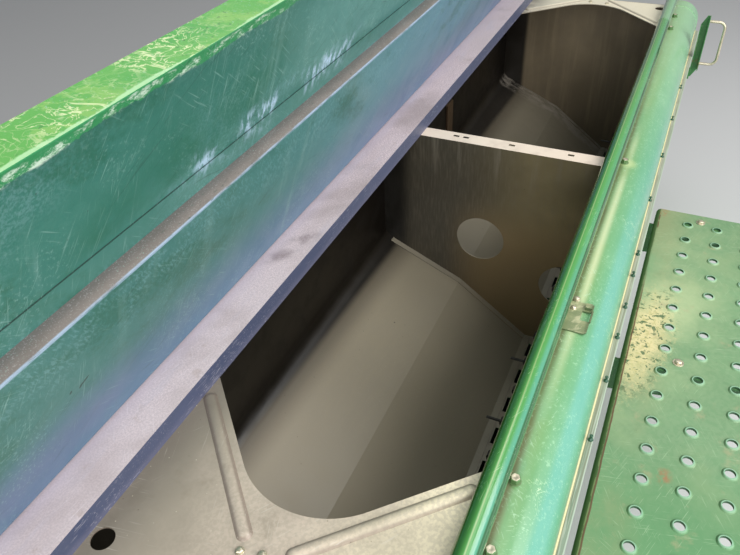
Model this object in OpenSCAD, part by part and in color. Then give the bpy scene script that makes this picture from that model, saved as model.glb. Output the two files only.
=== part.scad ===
// Seed hopper assembly of a three metre seed drill: hopper with open lid, loading walkway,
// metering units and shafts. Lengths run along X, the lid hinges at the front (+Y), the
// walkway lies at the rear (-Y). The origin is the middle of the four bolts of its feet.
// Modules work in hopper places: y = 0 is the middle line of the opening and z = 0 is the
// top face of the end shelves.

/* [Hopper] */
// Near end wall's outer face, from the middle of the opening
near_end = 1545; // [1500:5:1700]
// Far end wall's outer face, from the middle of the opening
far_end = 1342; // [1340:5:1700]
// Inner face of the front wall, from the middle line of the opening
front_in = 385; // [360:5:450]
// Inner face of the rear wall, from the middle line of the opening
rear_in = 381; // [370:5:450]
// Thickness of the hopper's sheets
sheet = 3; // [2:0.5:5]
// Depth at which the front wall bends into the floor
front_depth = 380; // [300:5:420]
// Inner radius of that bend
floor_r = 45; // [10:5:60]
// Depth at which the rear wall bends towards the trough
rear_depth = 330; // [250:5:420]
// Depth of the trough's bottom
trough_depth = 668; // [640:2:720]
// Middle of the trough, behind the middle line
trough_back = 170; // [150:5:190]
// Width of the trough's bottom
trough_w = 120; // [110:5:140]

/* [End shelves] */
// Distance of the far cut-out's sharp tip from the far end; the near one lies opposite
notch_margin = 7; // [5:1:100]
// Radius that rounds the tip
notch_r = 160; // [80:5:200]
// Width of a pressed bead
bead_w = 26; // [16:1:36]
// Height of a pressed bead
bead_h = 6; // [3:0.5:9]
// Distance from the cut-out's edge to a bead's middle line
bead_inset = 26; // [20:1:40]
// Diameter of the hole in the shelf's corner
shelf_hole_d = 38; // [20:1:50]

/* [Partition] */
// Face of the partition, from the middle of the opening
partition_x = -42; // [-60:1:-30]
// Width of its top flange
partition_flange = 51; // [30:1:60]
// Diameter of its two round windows
window_d = 150; // [100:5:160]

/* [Rims] */
// Inner lip of the front rim, from the middle line of the opening
lip_y = 262; // [240:1:280]
// Height of the front rim above the shelves
rim_h = 43; // [35:1:50]
// Diameter of the rear rim tube
tube_d = 42.4; // [33.7:0.1:48.3]
// Middle of the rim tube, behind the middle line
tube_back = 277; // [260:1:290]
// Drop of the rounded rear rim below the shelves
rim_drop = 12; // [8:1:16]
// Radius of the rounded rear rim
rim_r = 75; // [60:1:80]
// Width of the pale edge strip
strip_w = 16; // [10:1:20]
// Length of the rear rim past the far end wall
rim_over = 108; // [80:1:160]
// Width of the band round its far end
band_w = 68; // [20:1:70]

/* [Lid] */
// Angle through which the lid opens
lid_open = 69; // [60:1:80]
// Reach of the lid from its hinge axis
lid_reach = 662.3; // [655:0.1:690]
// Reach of its boxed front part
box_reach = 345.6; // [300:0.1:420]
// Depth of the boxed front part
box_h = 29.7; // [24:0.1:40]
// Width of the strip that seats the box on the skin
seam_w = 46.4; // [30:0.1:60]
// Depth of the fold along the rear edge
fold_h = 43.5; // [36:0.1:60]
// Thickness of the lid's sheets
lid_sheet = 2; // [1.5:0.1:2.5]
// Hinge axis in front of the middle line
hinge_y = 355; // [345:1:365]
// Hinge axis above the shelves
hinge_z = 58; // [55:0.5:66]

/* [Metering] */
// Distance between neighbouring metering units
row_pitch = 125; // [100:5:150]
// Number of metering units on each side of the partition
rows_a_side = 11; // [4:1:11]
// Diameter of the metering shaft
meter_shaft_d = 20; // [16:1:25]
// Diameter of the agitator shaft
agitator_d = 25; // [20:1:30]
// Height of the agitator's axis above the trough's bottom
agitator_up = 68; // [64:1:80]
// Length of an agitator finger from the axis
finger_l = 58; // [40:1:58]

/* [Walkway] */
// Walkway top below the shelves
walk_drop = 187; // [150:1:260]
// Walkway's edge next to the hopper, behind the middle line
walk_front = 414; // [410:1:440]
// Walkway width
walk_w = 385; // [300:5:450]
// Near end of the walkway, from the middle of the opening
walk_near = 1450; // [1300:5:1500]
// Far end of the walkway, past the middle of the opening
walk_far = 110; // [100:5:400]
// Distance between neighbouring holes of the walkway
hole_pitch = 75; // [60:1:100]
// Diameter of a walkway hole
walk_hole_d = 20; // [12:1:24]
// Height of the raised rim round a walkway hole
hole_rise = 3; // [1:0.5:4]

/* [Handle] */
// Height of the grab handle between its legs' middles
handle_l = 159; // [130:1:200]
// Reach of the grab handle from its bracket
handle_out = 56; // [50:1:80]
// Diameter of the handle's rod
handle_d = 10; // [8:1:14]
// Radius of the handle's bends, to the rod's middle
handle_bend = 24; // [15:1:30]

/* [Feet] */
// Height of the shelves' top above the mounting face of the feet
rim_up = 830; // [830:5:900]
// Distance between the two feet's bolt rows along the hopper
foot_span = 1800; // [1200:50:2200]
// Distance between the two bolts of one foot
bolt_span = 280; // [200:10:300]
// Middle of a foot's bolts, in front of the middle line
foot_mid = 160; // [150:5:170]
// Diameter of a foot's bolt holes
bolt_d = 13.5; // [11:0.5:17.5]

/* [Hidden] */
$fn = 48;

front_out = front_in + sheet;
rear_out = rear_in + sheet;
near_in = near_end - sheet;
far_in = far_end - sheet;
floor_bend = [120, -498];
trough_lip = 20;
trough_front = -trough_back + trough_w / 2;
trough_rear = -trough_back - trough_w / 2;
tube_z = tube_d / 2;

// A folded sheet's faces: the path is one face, the other lies to the left of its direction
function unit(v) = v / norm(v);
function left(v) = [-v[1], v[0]];
function end_normal(a, b) = left(unit(b - a));
function corner_shift(a, b, c) = let (n = end_normal(a, b), m = end_normal(b, c)) (n + m) / (1 + n * m);
function other_face(p, t) = [
    for (i = [0 : len(p) - 1])
        p[i] + t * (i == 0 ? end_normal(p[0], p[1])
            : i == len(p) - 1 ? end_normal(p[i - 1], p[i])
            : corner_shift(p[i - 1], p[i], p[i + 1]))
];
function backwards(p) = [for (i = [len(p) - 1 : -1 : 0]) p[i]];

module folded_sheet(p, t) {
    polygon(concat(p, backwards(other_face(p, t))));
}

// Lays a profile drawn in (y, z) along X
module along_x(x0, x1) {
    translate([x0, 0, 0]) rotate([90, 0, 90]) linear_extrude(x1 - x0) children();
}

module rod_x(x0, x1, y, z, d) {
    translate([x0, y, z]) rotate([0, 90, 0]) cylinder(h = x1 - x0, d = d);
}

// Puts hopper places into the frame whose origin is the middle of the feet's bolts
module placed() {
    translate([0, -foot_mid, rim_up]) children();
}

// The bend from the front wall into the floor: its middle, and where it meets both faces
slope_dir = unit(floor_bend - [front_in, -front_depth]);
bend_reach = floor_r * tan(atan2(-slope_dir[0], -slope_dir[1]) / 2);
bend_mid = [front_in - floor_r, -front_depth + bend_reach];
wall_foot = [front_in, -front_depth + bend_reach];
floor_top = [front_in, -front_depth] + bend_reach * slope_dir;
floor_path = [
    floor_top, floor_bend, [trough_front, -trough_depth], [trough_front - trough_lip, -trough_depth]
];
rear_path = [
    [trough_rear + trough_lip, -trough_depth], [trough_rear, -trough_depth],
    [-rear_in, -rear_depth], [-rear_in, -rim_drop - rim_r - sheet]
];
notch_tip = far_end - notch_margin;
rear_rim_y = -rear_out - sheet;
rim_mid = [rear_rim_y + rim_r, -rim_drop - rim_r];
rim_inner = -tube_back - 13;
rim_skirt = 38;
rim_rise = 4;

// Round part of the bend, with inner radius r, drawn between its two faces and a little past
// the lower one, which joins it to the floor
module bend_ring(r, t) {
    past = 1.5 * (floor_r + sheet);
    lap = 0.5;
    intersection() {
        translate(bend_mid) difference() {
            circle(r = r + t, $fn = 96);
            if (r > 0) circle(r = r, $fn = 96);
        }
        polygon([
            bend_mid, bend_mid + past * unit(wall_foot - bend_mid),
            bend_mid + past * [1, -1], bend_mid + past * unit(floor_top + lap * slope_dir - bend_mid)
        ]);
    }
}

module front_and_floor_sheet() {
    color([0.42, 0.4, 0.36]) placed() along_x(-near_in, far_in) {
        translate(wall_foot) square([sheet, rim_h - sheet - wall_foot[1]]);
        bend_ring(floor_r, sheet);
        folded_sheet(floor_path, sheet);
    }
}

module rear_sheet() {
    color([0.35, 0.33, 0.3]) placed() along_x(-near_in, far_in) folded_sheet(rear_path, sheet);
}

row_x = [
    for (side = [-1, 1], k = [0 : rows_a_side - 1])
        partition_x + side * (k + 0.5) * row_pitch
];
outlet_l = 60;
outlet_w = 70;

module trough_plate() {
    color([0.4, 0.38, 0.35]) placed() difference() {
        translate([-near_in, trough_rear - 20, -trough_depth - 2 * sheet])
            cube([near_in + far_in, trough_w + 40, sheet]);
        for (x = row_x)
            translate([x - outlet_l / 2, -trough_back - outlet_w / 2, -trough_depth - 3 * sheet])
                cube([outlet_l, outlet_w, 3 * sheet]);
    }
}

// Outline of the hopper's inside below the shelves, as the partition fills it
module inner_outline() {
    polygon([
        [front_in, 0], [rim_inner + sheet, 0], [rim_inner + sheet, -rim_drop - rim_skirt],
        [-rear_in, -rim_drop - rim_r - rim_skirt], [-rear_in, -rear_depth],
        [trough_rear, -trough_depth], [trough_front, -trough_depth], floor_bend, floor_top,
        bend_mid, wall_foot
    ]);
    bend_ring(0, floor_r);
}

// Quarter of a round edge about its middle, open towards the hopper
module rounded_edge(mid, r, t) {
    translate(mid) intersection() {
        difference() {
            circle(r = r, $fn = 96);
            circle(r = r - t, $fn = 96);
        }
        translate([-r, 0]) square(r);
    }
}

module rim_profile() {
    rounded_edge(rim_mid, rim_r, sheet);
    translate([rim_mid[0], -rim_drop - sheet]) square([rim_inner - rim_mid[0], sheet]);
    translate([rear_rim_y, -rim_drop - rim_r - rim_skirt]) square([sheet, rim_skirt]);
}

module end_outline() {
    polygon([
        [front_out, rim_h - sheet], [lip_y + sheet, rim_h - sheet], [lip_y + sheet, 0], [rim_inner, 0],
        [rim_inner, -rim_drop - sheet], [rim_mid[0], -rim_drop - sheet],
        [rim_mid[0], -rim_drop - rim_r], [-rear_out, -rim_drop - rim_r], [-rear_out, -rear_depth],
        [trough_rear - sheet, -trough_depth - sheet], [trough_front + sheet, -trough_depth - sheet],
        [floor_bend[0] + sheet, floor_bend[1] - sheet], other_face(floor_path, sheet)[0],
        bend_mid, [front_out, wall_foot[1]]
    ]);
    bend_ring(0, floor_r + sheet);
    translate(rim_mid) intersection() {
        circle(r = rim_r - sheet, $fn = 96);
        translate([-rim_r, 0]) square(rim_r);
    }
}

base_w = 20;
base_t = 1.5;
base_path = [[trough_front, -trough_depth], floor_bend, floor_top];

// Folded foot of a wall, lying on the sloping floor
module wall_base(x0) {
    along_x(x0, x0 + base_w) folded_sheet(base_path, base_t);
}

bearing_room = 15;
bearing_hole_d = agitator_d + bearing_room;
agitator_z = -trough_depth + agitator_up;
meter_drop = 47;
meter_z = -trough_depth - meter_drop;

module end_wall(x0) {
    difference() {
        along_x(x0, x0 + sheet) end_outline();
        rod_x(x0 - 1, x0 + sheet + 1, -trough_back, agitator_z, bearing_hole_d);
    }
}

module end_wall_near() {
    color([0.2, 0.5, 0.3]) placed() {
        end_wall(-near_end);
        wall_base(-near_in);
    }
}

module end_wall_far() {
    color([0.2, 0.5, 0.3]) placed() {
        end_wall(far_in);
        wall_base(far_in - base_w);
    }
}

// Opening in the shelf plane: a long hexagon with rounded tips, 45 degrees at its ends
module opening_outline() {
    tip_in = notch_r * sqrt(2);
    for (side = [-1, 1])
        translate([side * (notch_tip - tip_in), 0]) circle(r = notch_r, $fn = 96);
    reach = notch_tip - notch_r / sqrt(2);
    half = notch_r / sqrt(2);
    wide = 420;
    polygon([
        [-reach, -half], [-notch_tip + wide, -wide], [notch_tip - wide, -wide], [reach, -half],
        [reach, half], [notch_tip - wide, wide], [-notch_tip + wide, wide], [-reach, half]
    ]);
}

module shelf_plate(x0, x1) {
    linear_extrude(sheet) difference() {
        translate([x0, rim_inner + sheet]) square([x1 - x0, front_in - rim_inner - sheet]);
        opening_outline();
    }
}

bead_ends = [35, 325];

// Half round beads along both edges of one cut-out, side is -1 at the near end
module beads(side) {
    for (turn = [-1, 1])
        translate([side * notch_tip, 0, 0])
            rotate([0, 0, side > 0 ? 180 - turn * 45 : turn * 45])
                translate([0, -side * turn * bead_inset, 0])
                    bead(bead_ends[0], bead_ends[1]);
}

module bead(a, b) {
    bow = (bead_w * bead_w / 4 + bead_h * bead_h) / (2 * bead_h);
    translate([0, 0, bead_h - bow]) intersection() {
        union() {
            translate([a, 0, 0]) rotate([0, 90, 0]) cylinder(h = b - a, r = bow, $fn = 96);
            for (x = [a, b]) translate([x, 0, 0]) sphere(r = bow, $fn = 96);
        }
        translate([a - bead_w / 2, -bead_w / 2, bow - bead_h])
            cube([b - a + bead_w, bead_w, bow]);
    }
}

near_hole = [124 - near_end, lip_y - 24];
far_hole = [far_end - 54, 20 - lip_y];

module shelf_hole(place) {
    translate([place[0], place[1], -1]) cylinder(h = sheet + 2, d = shelf_hole_d);
}

module end_shelf_near() {
    color([0.62, 0.6, 0.56]) placed() {
        translate([0, 0, -sheet]) difference() {
            shelf_plate(-near_in, 0);
            shelf_hole(near_hole);
        }
        beads(-1);
    }
}

module end_shelf_far() {
    color([0.62, 0.6, 0.56]) placed() {
        translate([0, 0, -sheet]) difference() {
            shelf_plate(0, far_in);
            shelf_hole(far_hole);
        }
        beads(1);
    }
}

windows = [[64, -321], [-207, -433]];
slot_y = [163, 134, -1, -166];
slot_l = 17;
slot_w = 9;
slot_in = 26;

module partition() {
    color([0.45, 0.42, 0.38]) placed() difference() {
        union() {
            along_x(partition_x, partition_x + sheet) inner_outline();
            translate([partition_x, rim_inner + sheet, -sheet])
                cube([partition_flange, lip_y - rim_inner - sheet, sheet]);
            wall_base(partition_x - base_w);
        }
        for (w = windows) rod_x(partition_x - 1, partition_x + sheet + 1, w[0], w[1], window_d);
        rod_x(partition_x - 1, partition_x + sheet + 1, -trough_back, agitator_z, agitator_d + 0.1);
        for (y = slot_y)
            translate([partition_x + slot_in, y - slot_l / 2, -sheet - 1])
                cube([slot_w, slot_l, sheet + 2]);
    }
}

strap_x = 534;
strap_w = 60;
strap_t = 6;
strap_top = -178;
strap_low = -345;
strap_r = 12;

// Flat bar on the inside of the front wall, in the far compartment
module wall_strap() {
    color([0.28, 0.22, 0.16]) placed() translate([strap_x, front_in, strap_low]) rotate([90, 0, 0])
        linear_extrude(strap_t) {
            square([strap_w, strap_top - strap_low - strap_r]);
            translate([strap_r, 0]) square([strap_w - 2 * strap_r, strap_top - strap_low]);
            for (x = [strap_r, strap_w - strap_r])
                translate([x, strap_top - strap_low - strap_r]) circle(r = strap_r);
        }
}

module front_rim() {
    path = [[front_out + sheet, -20], [front_out + sheet, rim_h], [lip_y, rim_h], [lip_y, 0]];
    color([0.7, 0.68, 0.7]) placed() along_x(-near_end, far_end) folded_sheet(path, sheet);
}

band_t = 2;
rim_far = far_end + rim_over;

// Band over the rounded rim, welded into its sheet, and the plate that closes the far end
module rim_band() {
    weld = sheet / 2;
    rounded_edge(rim_mid, rim_r + band_t, band_t + weld);
    translate([rim_mid[0], -rim_drop - weld]) square([rim_inner - rim_mid[0], band_t + weld]);
    translate([rear_rim_y - band_t, -rim_drop - rim_r - rim_skirt]) square([band_t + weld, rim_skirt]);
}

module rim_cap() {
    translate(rim_mid) intersection() {
        circle(r = rim_r, $fn = 96);
        translate([-rim_r, 0]) square([rim_inner - rear_rim_y, rim_r]);
    }
    translate([rim_mid[0], -rim_drop - rim_r]) square([rim_inner - rim_mid[0], rim_r]);
    translate([rear_rim_y, -rim_drop - rim_r - rim_skirt]) square([rim_inner - rear_rim_y, rim_skirt]);
}

module rear_rim() {
    color([0.3, 0.65, 0.4]) placed() {
        along_x(-near_end, rim_far) rim_profile();
        along_x(rim_far - band_w, rim_far) rim_band();
        along_x(rim_far - band_t, rim_far) rim_cap();
        along_x(-near_in, far_in) translate([rim_inner - sheet, -rim_drop - rim_skirt])
            square([sheet, rim_skirt + rim_drop + rim_rise]);
    }
}

module rim_edge_strip() {
    strip_top = -rim_drop - rim_r - 16;
    color([0.8, 0.78, 0.65]) placed() along_x(-near_end, rim_far - band_w) {
        translate([rear_rim_y - strip_w, strip_top - 2]) square([strip_w, 2]);
        translate([rear_rim_y - 2, strip_top - 20]) square([2, 20]);
    }
}

joint_x = far_end - 293;
joint_w = 9;

module rim_tube() {
    color([0.2, 0.55, 0.3]) placed() difference() {
        union() {
            rod_x(-near_end, far_end, -tube_back, tube_z, tube_d);
            rod_x(joint_x, joint_x + joint_w, -tube_back, tube_z, tube_d + 1);
        }
        rod_x(-near_end + 4, far_end - 4, -tube_back, tube_z, tube_d - 6);
    }
}

saddle_inset = 400;
saddle_l = 40;
saddle_w = 26;
saddle_x = [for (k = [-3 : 2 : 3]) k * (notch_tip - saddle_inset) / 3];

module tube_saddles() {
    color([0.2, 0.5, 0.3]) placed() difference() {
        for (x = saddle_x)
            translate([x - saddle_l / 2, rim_inner, -rim_drop - 14])
                cube([saddle_l, saddle_w, rim_drop + 26]);
        rod_x(-near_end - 1, far_end + 1, -tube_back, tube_z, tube_d + 0.2);
    }
}

latch_x = -640;
latch_y = rear_rim_y + 57;
latch_l = 92;
latch_w = 48;
latch_r = 8;
latch_near = 52;
latch_slot = [30, 18];
latch_lip = [36, 3, 3];
latch_lug = [14, 13, 7];

module latch_plate() {
    color([0.7, 0.72, 0.5]) placed() difference() {
        translate([latch_x - latch_near, rim_inner - sheet - latch_w, -rim_drop]) linear_extrude(sheet) {
            translate([latch_r, 0]) square([latch_l - latch_r, latch_w]);
            translate([0, latch_r]) square([latch_r, latch_w - latch_r]);
            translate([latch_r, latch_r]) circle(r = latch_r);
        }
        translate([latch_x - latch_slot[0] / 2, latch_y - latch_slot[1] / 2, -rim_drop - 1])
            cube([latch_slot[0], latch_slot[1], sheet + 2]);
    }
    color([0.6, 0.5, 0.35]) placed() translate([latch_x, latch_y, sheet - rim_drop]) {
        translate([-latch_lip[0] / 2, -latch_slot[1] / 2 - 4, 0]) cube(latch_lip);
        translate([20, -8, 0]) cube(latch_lug);
    }
}

unit_half = 40;
unit_w = 110;
unit_foot_w = 48;
unit_taper = 35;
unit_h = 100;
unit_throat = 40;
roller_room = 76;
roller_d = 58;
roller_low_d = 44;
flutes = 10;
unit_top = -trough_depth - 2 * sheet;
unit_low = unit_top - unit_h;
spout_l = 40;
spout_d = 40;

module metering_unit() {
    difference() {
        union() {
            along_x(-unit_half, unit_half) translate([-trough_back, 0]) polygon([
                [unit_w / 2, unit_top], [-unit_w / 2, unit_top], [-unit_w / 2, unit_low + unit_taper],
                [-unit_foot_w / 2, unit_low], [unit_foot_w / 2, unit_low], [unit_w / 2, unit_low + unit_taper]
            ]);
            translate([0, -trough_back, unit_low - spout_l]) cylinder(h = spout_l + 1, d = spout_d);
        }
        translate([-outlet_l / 2, -trough_back - outlet_w / 2, unit_top - roller_room])
            cube([outlet_l, outlet_w, roller_room + 1]);
        translate([0, -trough_back, unit_low - spout_l - 1])
            cylinder(h = spout_l + unit_throat, d = spout_d - 2 * sheet);
        rod_x(-unit_half - 1, unit_half + 1, -trough_back, meter_z, meter_shaft_d + 0.1);
    }
}

module metering_units() {
    color([0.15, 0.15, 0.15]) placed() for (x = row_x) translate([x, 0, 0]) metering_unit();
}

bearing_w = 16;
bearing_rim = 24;
bearing_d = bearing_hole_d + bearing_rim;
bearing_plate = 5;

// Bearing with a square flange against the wall, whose corners are rounded
module bearing(x0, wall_x, z, d, outer) {
    difference() {
        union() {
            rod_x(x0, x0 + bearing_w, -trough_back, z, outer);
            intersection() {
                translate([wall_x, -trough_back - outer / 2, z - outer / 2])
                    cube([bearing_plate, outer, outer]);
                rod_x(x0, x0 + bearing_w, -trough_back, z, outer * 1.3);
            }
        }
        rod_x(x0 - 1, x0 + bearing_w + 1, -trough_back, z, d + 0.1);
    }
}

module shaft_bearings() {
    color([0.5, 0.5, 0.5]) placed() {
        bearing(-near_end - bearing_w, -near_end - bearing_plate, agitator_z, agitator_d, bearing_d);
        bearing(far_end, far_end, agitator_z, agitator_d, bearing_d);
    }
}

foot_t = 8;
foot_w = 80;
web_t = 6;
foot_back = -70;
foot_in = 40;
foot_side = 20;
web_in = 20;
web_knee = 120;

module foot_web() {
    under = other_face(floor_path, sheet);
    slope = (under[2][1] - under[1][1]) / (under[2][0] - under[1][0]);
    back_top = under[1][1] + slope * (foot_back - under[1][0]);
    polygon([
        under[0], under[1], [foot_back, back_top], [foot_back, foot_t - rim_up],
        [front_out - foot_in, foot_t - rim_up], [front_out - web_in, -front_depth - web_knee]
    ]);
}

module foot(x) {
    difference() {
        union() {
            along_x(x - web_t / 2, x + web_t / 2) foot_web();
            translate([x - foot_w / 2, foot_back, -rim_up])
                cube([foot_w, front_out - foot_in - foot_back, foot_t]);
        }
        for (y = [-1, 1])
            translate([x + foot_side, foot_mid + y * bolt_span / 2, -rim_up - 1])
                cylinder(h = foot_t + 2, d = bolt_d);
    }
}

module foot_near() {
    color([0.2, 0.5, 0.3]) placed() mirror([1, 0, 0]) foot(foot_span / 2 - foot_side);
}

module foot_far() {
    color([0.2, 0.5, 0.3]) placed() foot(foot_span / 2 - foot_side);
}

walk_t = 3;
walk_skirt = 34;
walk_r = 14;
walk_rear = walk_front + walk_w;
hole_far = 61;
hole_cols = 1 + floor((walk_near + walk_far - hole_far - hole_pitch / 2) / hole_pitch);
hole_rows = floor((walk_w - hole_pitch / 2) / hole_pitch);

module walk_edge() {
    translate([-walk_front - walk_r, -walk_drop - walk_r]) mirror([1, 0])
        rounded_edge([0, 0], walk_r, walk_t);
    translate([-walk_front - walk_t, -walk_drop - walk_skirt]) square([walk_t, walk_skirt - walk_r]);
}

// Middles of the walkway's holes on its top face
hole_places = [
    for (i = [0 : hole_cols - 1], j = [0 : hole_rows - 1])
        [walk_far - hole_far - i * hole_pitch, -walk_front - 88 - j * hole_pitch, -walk_drop]
];

module walkway_board() {
    color([0.45, 0.65, 0.45]) placed() difference() {
        union() {
            along_x(-walk_near, walk_far) {
                walk_edge();
                translate([-walk_front - walk_rear, 0]) mirror([1, 0]) walk_edge();
                translate([-walk_rear + walk_r, -walk_drop - walk_t])
                    square([walk_w - 2 * walk_r, walk_t]);
            }
            for (place = hole_places) translate(place)
                cylinder(h = hole_rise, d1 = walk_hole_d + 11, d2 = walk_hole_d + 4);
        }
        for (place = hole_places) translate(place - [0, 0, walk_t + 1])
            cylinder(h = walk_t + hole_rise + 2, d = walk_hole_d);
    }
}

arm_t = 6;
arm_far = 39;
arm_near = 351;
arm_pitch = (walk_near + walk_far - arm_far - arm_near) / 2;
arm_x = [for (k = [0 : 2]) walk_far - arm_far - k * arm_pitch];

module walkway_arms() {
    color([0.2, 0.5, 0.3]) placed() for (x = arm_x) {
        along_x(x, x + arm_t) polygon([
            [-rear_out, -walk_drop - walk_skirt], [-walk_rear + 20, -walk_drop - walk_skirt],
            [-walk_rear + 20, -walk_drop - walk_skirt - 24], [-rear_out, -rear_depth + 6]
        ]);
        translate([x - 30, -walk_rear + walk_r, -walk_drop - walk_t - 8])
            cube([66, walk_w - 2 * walk_r, 8]);
        translate([x, -walk_rear + 20, -walk_drop - walk_skirt - 1])
            cube([arm_t, walk_w - 40, walk_skirt - walk_t - 6]);
    }
}

handle_x = far_end - 242;
handle_low = -129;
plate_l = 30;
plate_w = 28;
plate_t = 3;
plate_y = rear_rim_y - strip_w - 2;
plate_low = handle_low - 60;
plate_high = handle_low + handle_l + 16;
plate_foot = 34;
low_cut = [22, 40];
high_cut = [18, 36];

// Channel bracket, open towards the near end, with slanted ends
module handle_plate() {
    outer = plate_y - plate_w;
    color([0.25, 0.6, 0.35]) placed() {
        difference() {
            translate([handle_x - plate_l / 2, outer, plate_low])
                cube([plate_l, plate_w, plate_high - plate_low]);
            translate([handle_x - plate_l / 2 - 1, outer + plate_t, plate_low - 1])
                cube([plate_l - plate_t + 1, plate_w - 2 * plate_t, plate_high - plate_low + 2]);
            along_x(handle_x - plate_l, handle_x + plate_l) {
                polygon([
                    [outer - 1, plate_low - 1], [outer + low_cut[0], plate_low - 1],
                    [outer - 1, plate_low + low_cut[1]]
                ]);
                polygon([
                    [plate_y + 1, plate_high - high_cut[1]], [plate_y + 1, plate_high + 1],
                    [plate_y - high_cut[0], plate_high + 1]
                ]);
            }
        }
        translate([handle_x - plate_l / 2, plate_y, plate_low])
            cube([plate_l, -rear_out - plate_y, plate_foot]);
    }
}

module grab_handle() {
    straight = handle_out - handle_bend;
    color([0.8, 0.78, 0.7]) placed() translate([handle_x, plate_y - plate_w, handle_low]) {
        for (z = [0, handle_l]) translate([0, 0, z]) rotate([90, 0, 0])
            cylinder(h = straight, d = handle_d);
        translate([0, -handle_out, handle_bend]) cylinder(h = handle_l - 2 * handle_bend, d = handle_d);
        for (place = [[handle_bend, -90], [handle_l - handle_bend, 180]])
            translate([0, -straight, place[0]]) rotate([0, 90, 0]) rotate([0, 0, place[1]])
                rotate_extrude(angle = 90) translate([handle_bend, 0]) circle(d = handle_d);
    }
}

lug_inset = 95;
lug_x = [for (k = [0 : 4]) -near_end + lug_inset + k * (near_end + far_end - 2 * lug_inset) / 4];
lug_t = 8;
lug_r = 6;
lug_stem = 14;
pin_d = 6;

// Goose-necked hinge lugs, which reach round the lid's back to the hinge axis
module hinge_lugs() {
    color([0.2, 0.5, 0.3]) placed() difference() {
        for (x = lug_x) {
            rod_x(x - lug_t / 2, x + lug_t / 2, hinge_y, hinge_z, 2 * lug_r);
            translate([x - lug_t / 2, hinge_y, hinge_z - lug_r])
                cube([lug_t, front_out - 2 - hinge_y, 2 * lug_r]);
            translate([x - lug_t / 2, front_out - 2 - lug_stem, rim_h])
                cube([lug_t, lug_stem, hinge_z + lug_r - rim_h]);
        }
        rod_x(-near_end, far_end, hinge_y, hinge_z, pin_d + 0.1);
    }
}

lid_gap = 5.4;
lid_back = -7;
panel_w = rim_h + lid_gap - hinge_z;
skin_w = panel_w + box_h;
lid_over = 8;
lid_near = -near_end - lid_over + lid_sheet;
lid_far = far_end + lid_over - lid_sheet;

// Closed lid places: s runs from the hinge to the rear, w up; then the lid swings open
module lid_placed() {
    placed() translate([0, hinge_y, hinge_z]) rotate([-lid_open, 0, 0]) children();
}

module lid_along(x0, x1) {
    along_x(x0, x1) mirror([1, 0]) children();
}

// Notches of the lid's back and skin, in which the goose-necks turn
module hinge_notches() {
    for (x = lug_x) translate([x - lug_t / 2 - 3, -4, panel_w + lid_sheet])
        cube([lug_t + 6, 16, skin_w - panel_w + lid_sheet]);
}

module lid_skin() {
    reach = lid_reach - lid_sheet;
    path = [[lid_back, skin_w], [reach, skin_w], [reach, skin_w + lid_sheet - fold_h]];
    color([0.3, 0.6, 0.45]) lid_placed() difference() {
        lid_along(lid_near, lid_far) folded_sheet(path, lid_sheet);
        hinge_notches();
    }
}

module lid_box() {
    path = [
        [lid_back, skin_w], [lid_back, panel_w], [box_reach, panel_w],
        [box_reach, skin_w - lid_sheet], [box_reach + seam_w, skin_w - lid_sheet]
    ];
    color([0.3, 0.58, 0.5]) lid_placed() difference() {
        lid_along(lid_near, lid_far) folded_sheet(path, lid_sheet);
        hinge_notches();
    }
}

module lid_end(x) {
    lid_along(x, x + lid_sheet) polygon([
        [lid_back, skin_w + lid_sheet], [lid_reach, skin_w + lid_sheet],
        [lid_reach, skin_w + lid_sheet - fold_h], [20, skin_w + lid_sheet - fold_h], [lid_back, panel_w]
    ]);
}

module lid_end_near() {
    color([0.3, 0.6, 0.4]) lid_placed() lid_end(-near_end - lid_over);
}

module lid_end_far() {
    color([0.3, 0.6, 0.4]) lid_placed() lid_end(far_end + lid_over - lid_sheet);
}

cheek_t = 6;
cheek_w = 22;
cheek_span = 20;

// Pins with a cheek plate on each side of the goose-neck
module lid_hinge_pins() {
    color([0.6, 0.6, 0.6]) lid_placed() for (x = lug_x) {
        rod_x(x - cheek_span, x + cheek_span, 0, 0, pin_d);
        for (side = [-1, 1]) translate([x + (side * cheek_span - cheek_t) / 2, 4 - cheek_w, -6])
            cube([cheek_t, cheek_w, skin_w + 6]);
    }
}

strut_x = 30;
stud_s = 260;
stud_w = -5;
strut_foot = [300, -180];
strut_d = 22;
strut_rod_d = 10;
eye_t = 10;
eye_d = 24;
strut_pin_d = 10;

near_strut_x = -near_end - strut_x;
far_strut_x = far_end + strut_x;

module lid_strut_studs() {
    color([0.6, 0.6, 0.6]) lid_placed() {
        rod_x(near_strut_x + eye_t / 2 + 1, -near_end - lid_over, -stud_s, stud_w, strut_pin_d);
        rod_x(far_end + lid_over, far_strut_x - eye_t / 2 - 1, -stud_s, stud_w, strut_pin_d);
    }
}

module strut_brackets() {
    color([0.2, 0.5, 0.3]) placed() {
        rod_x(near_strut_x - eye_t / 2 - 2, -near_end, strut_foot[0], strut_foot[1], strut_pin_d);
        rod_x(far_end, far_strut_x + eye_t / 2 + 2, strut_foot[0], strut_foot[1], strut_pin_d);
        rod_x(near_strut_x + eye_t / 2 + 2, -near_end, strut_foot[0], strut_foot[1], 30);
        rod_x(far_end, far_strut_x - eye_t / 2 - 2, strut_foot[0], strut_foot[1], 30);
    }
}

stud_open = [
    hinge_y - stud_s * cos(lid_open) + stud_w * sin(lid_open),
    hinge_z + stud_s * sin(lid_open) + stud_w * cos(lid_open)
];
strut_l = norm(stud_open - strut_foot);
strut_tilt = atan2(stud_open[1] - strut_foot[1], stud_open[0] - strut_foot[0]);
cylinder_l = 225;
rod_overlap = 25;
strut_stroke = 175;

// Strut places: z runs from the foot's pin to the stud
module strut_placed(x) {
    placed() translate([x, strut_foot[0], strut_foot[1]]) rotate([strut_tilt - 90, 0, 0]) children();
}

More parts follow.
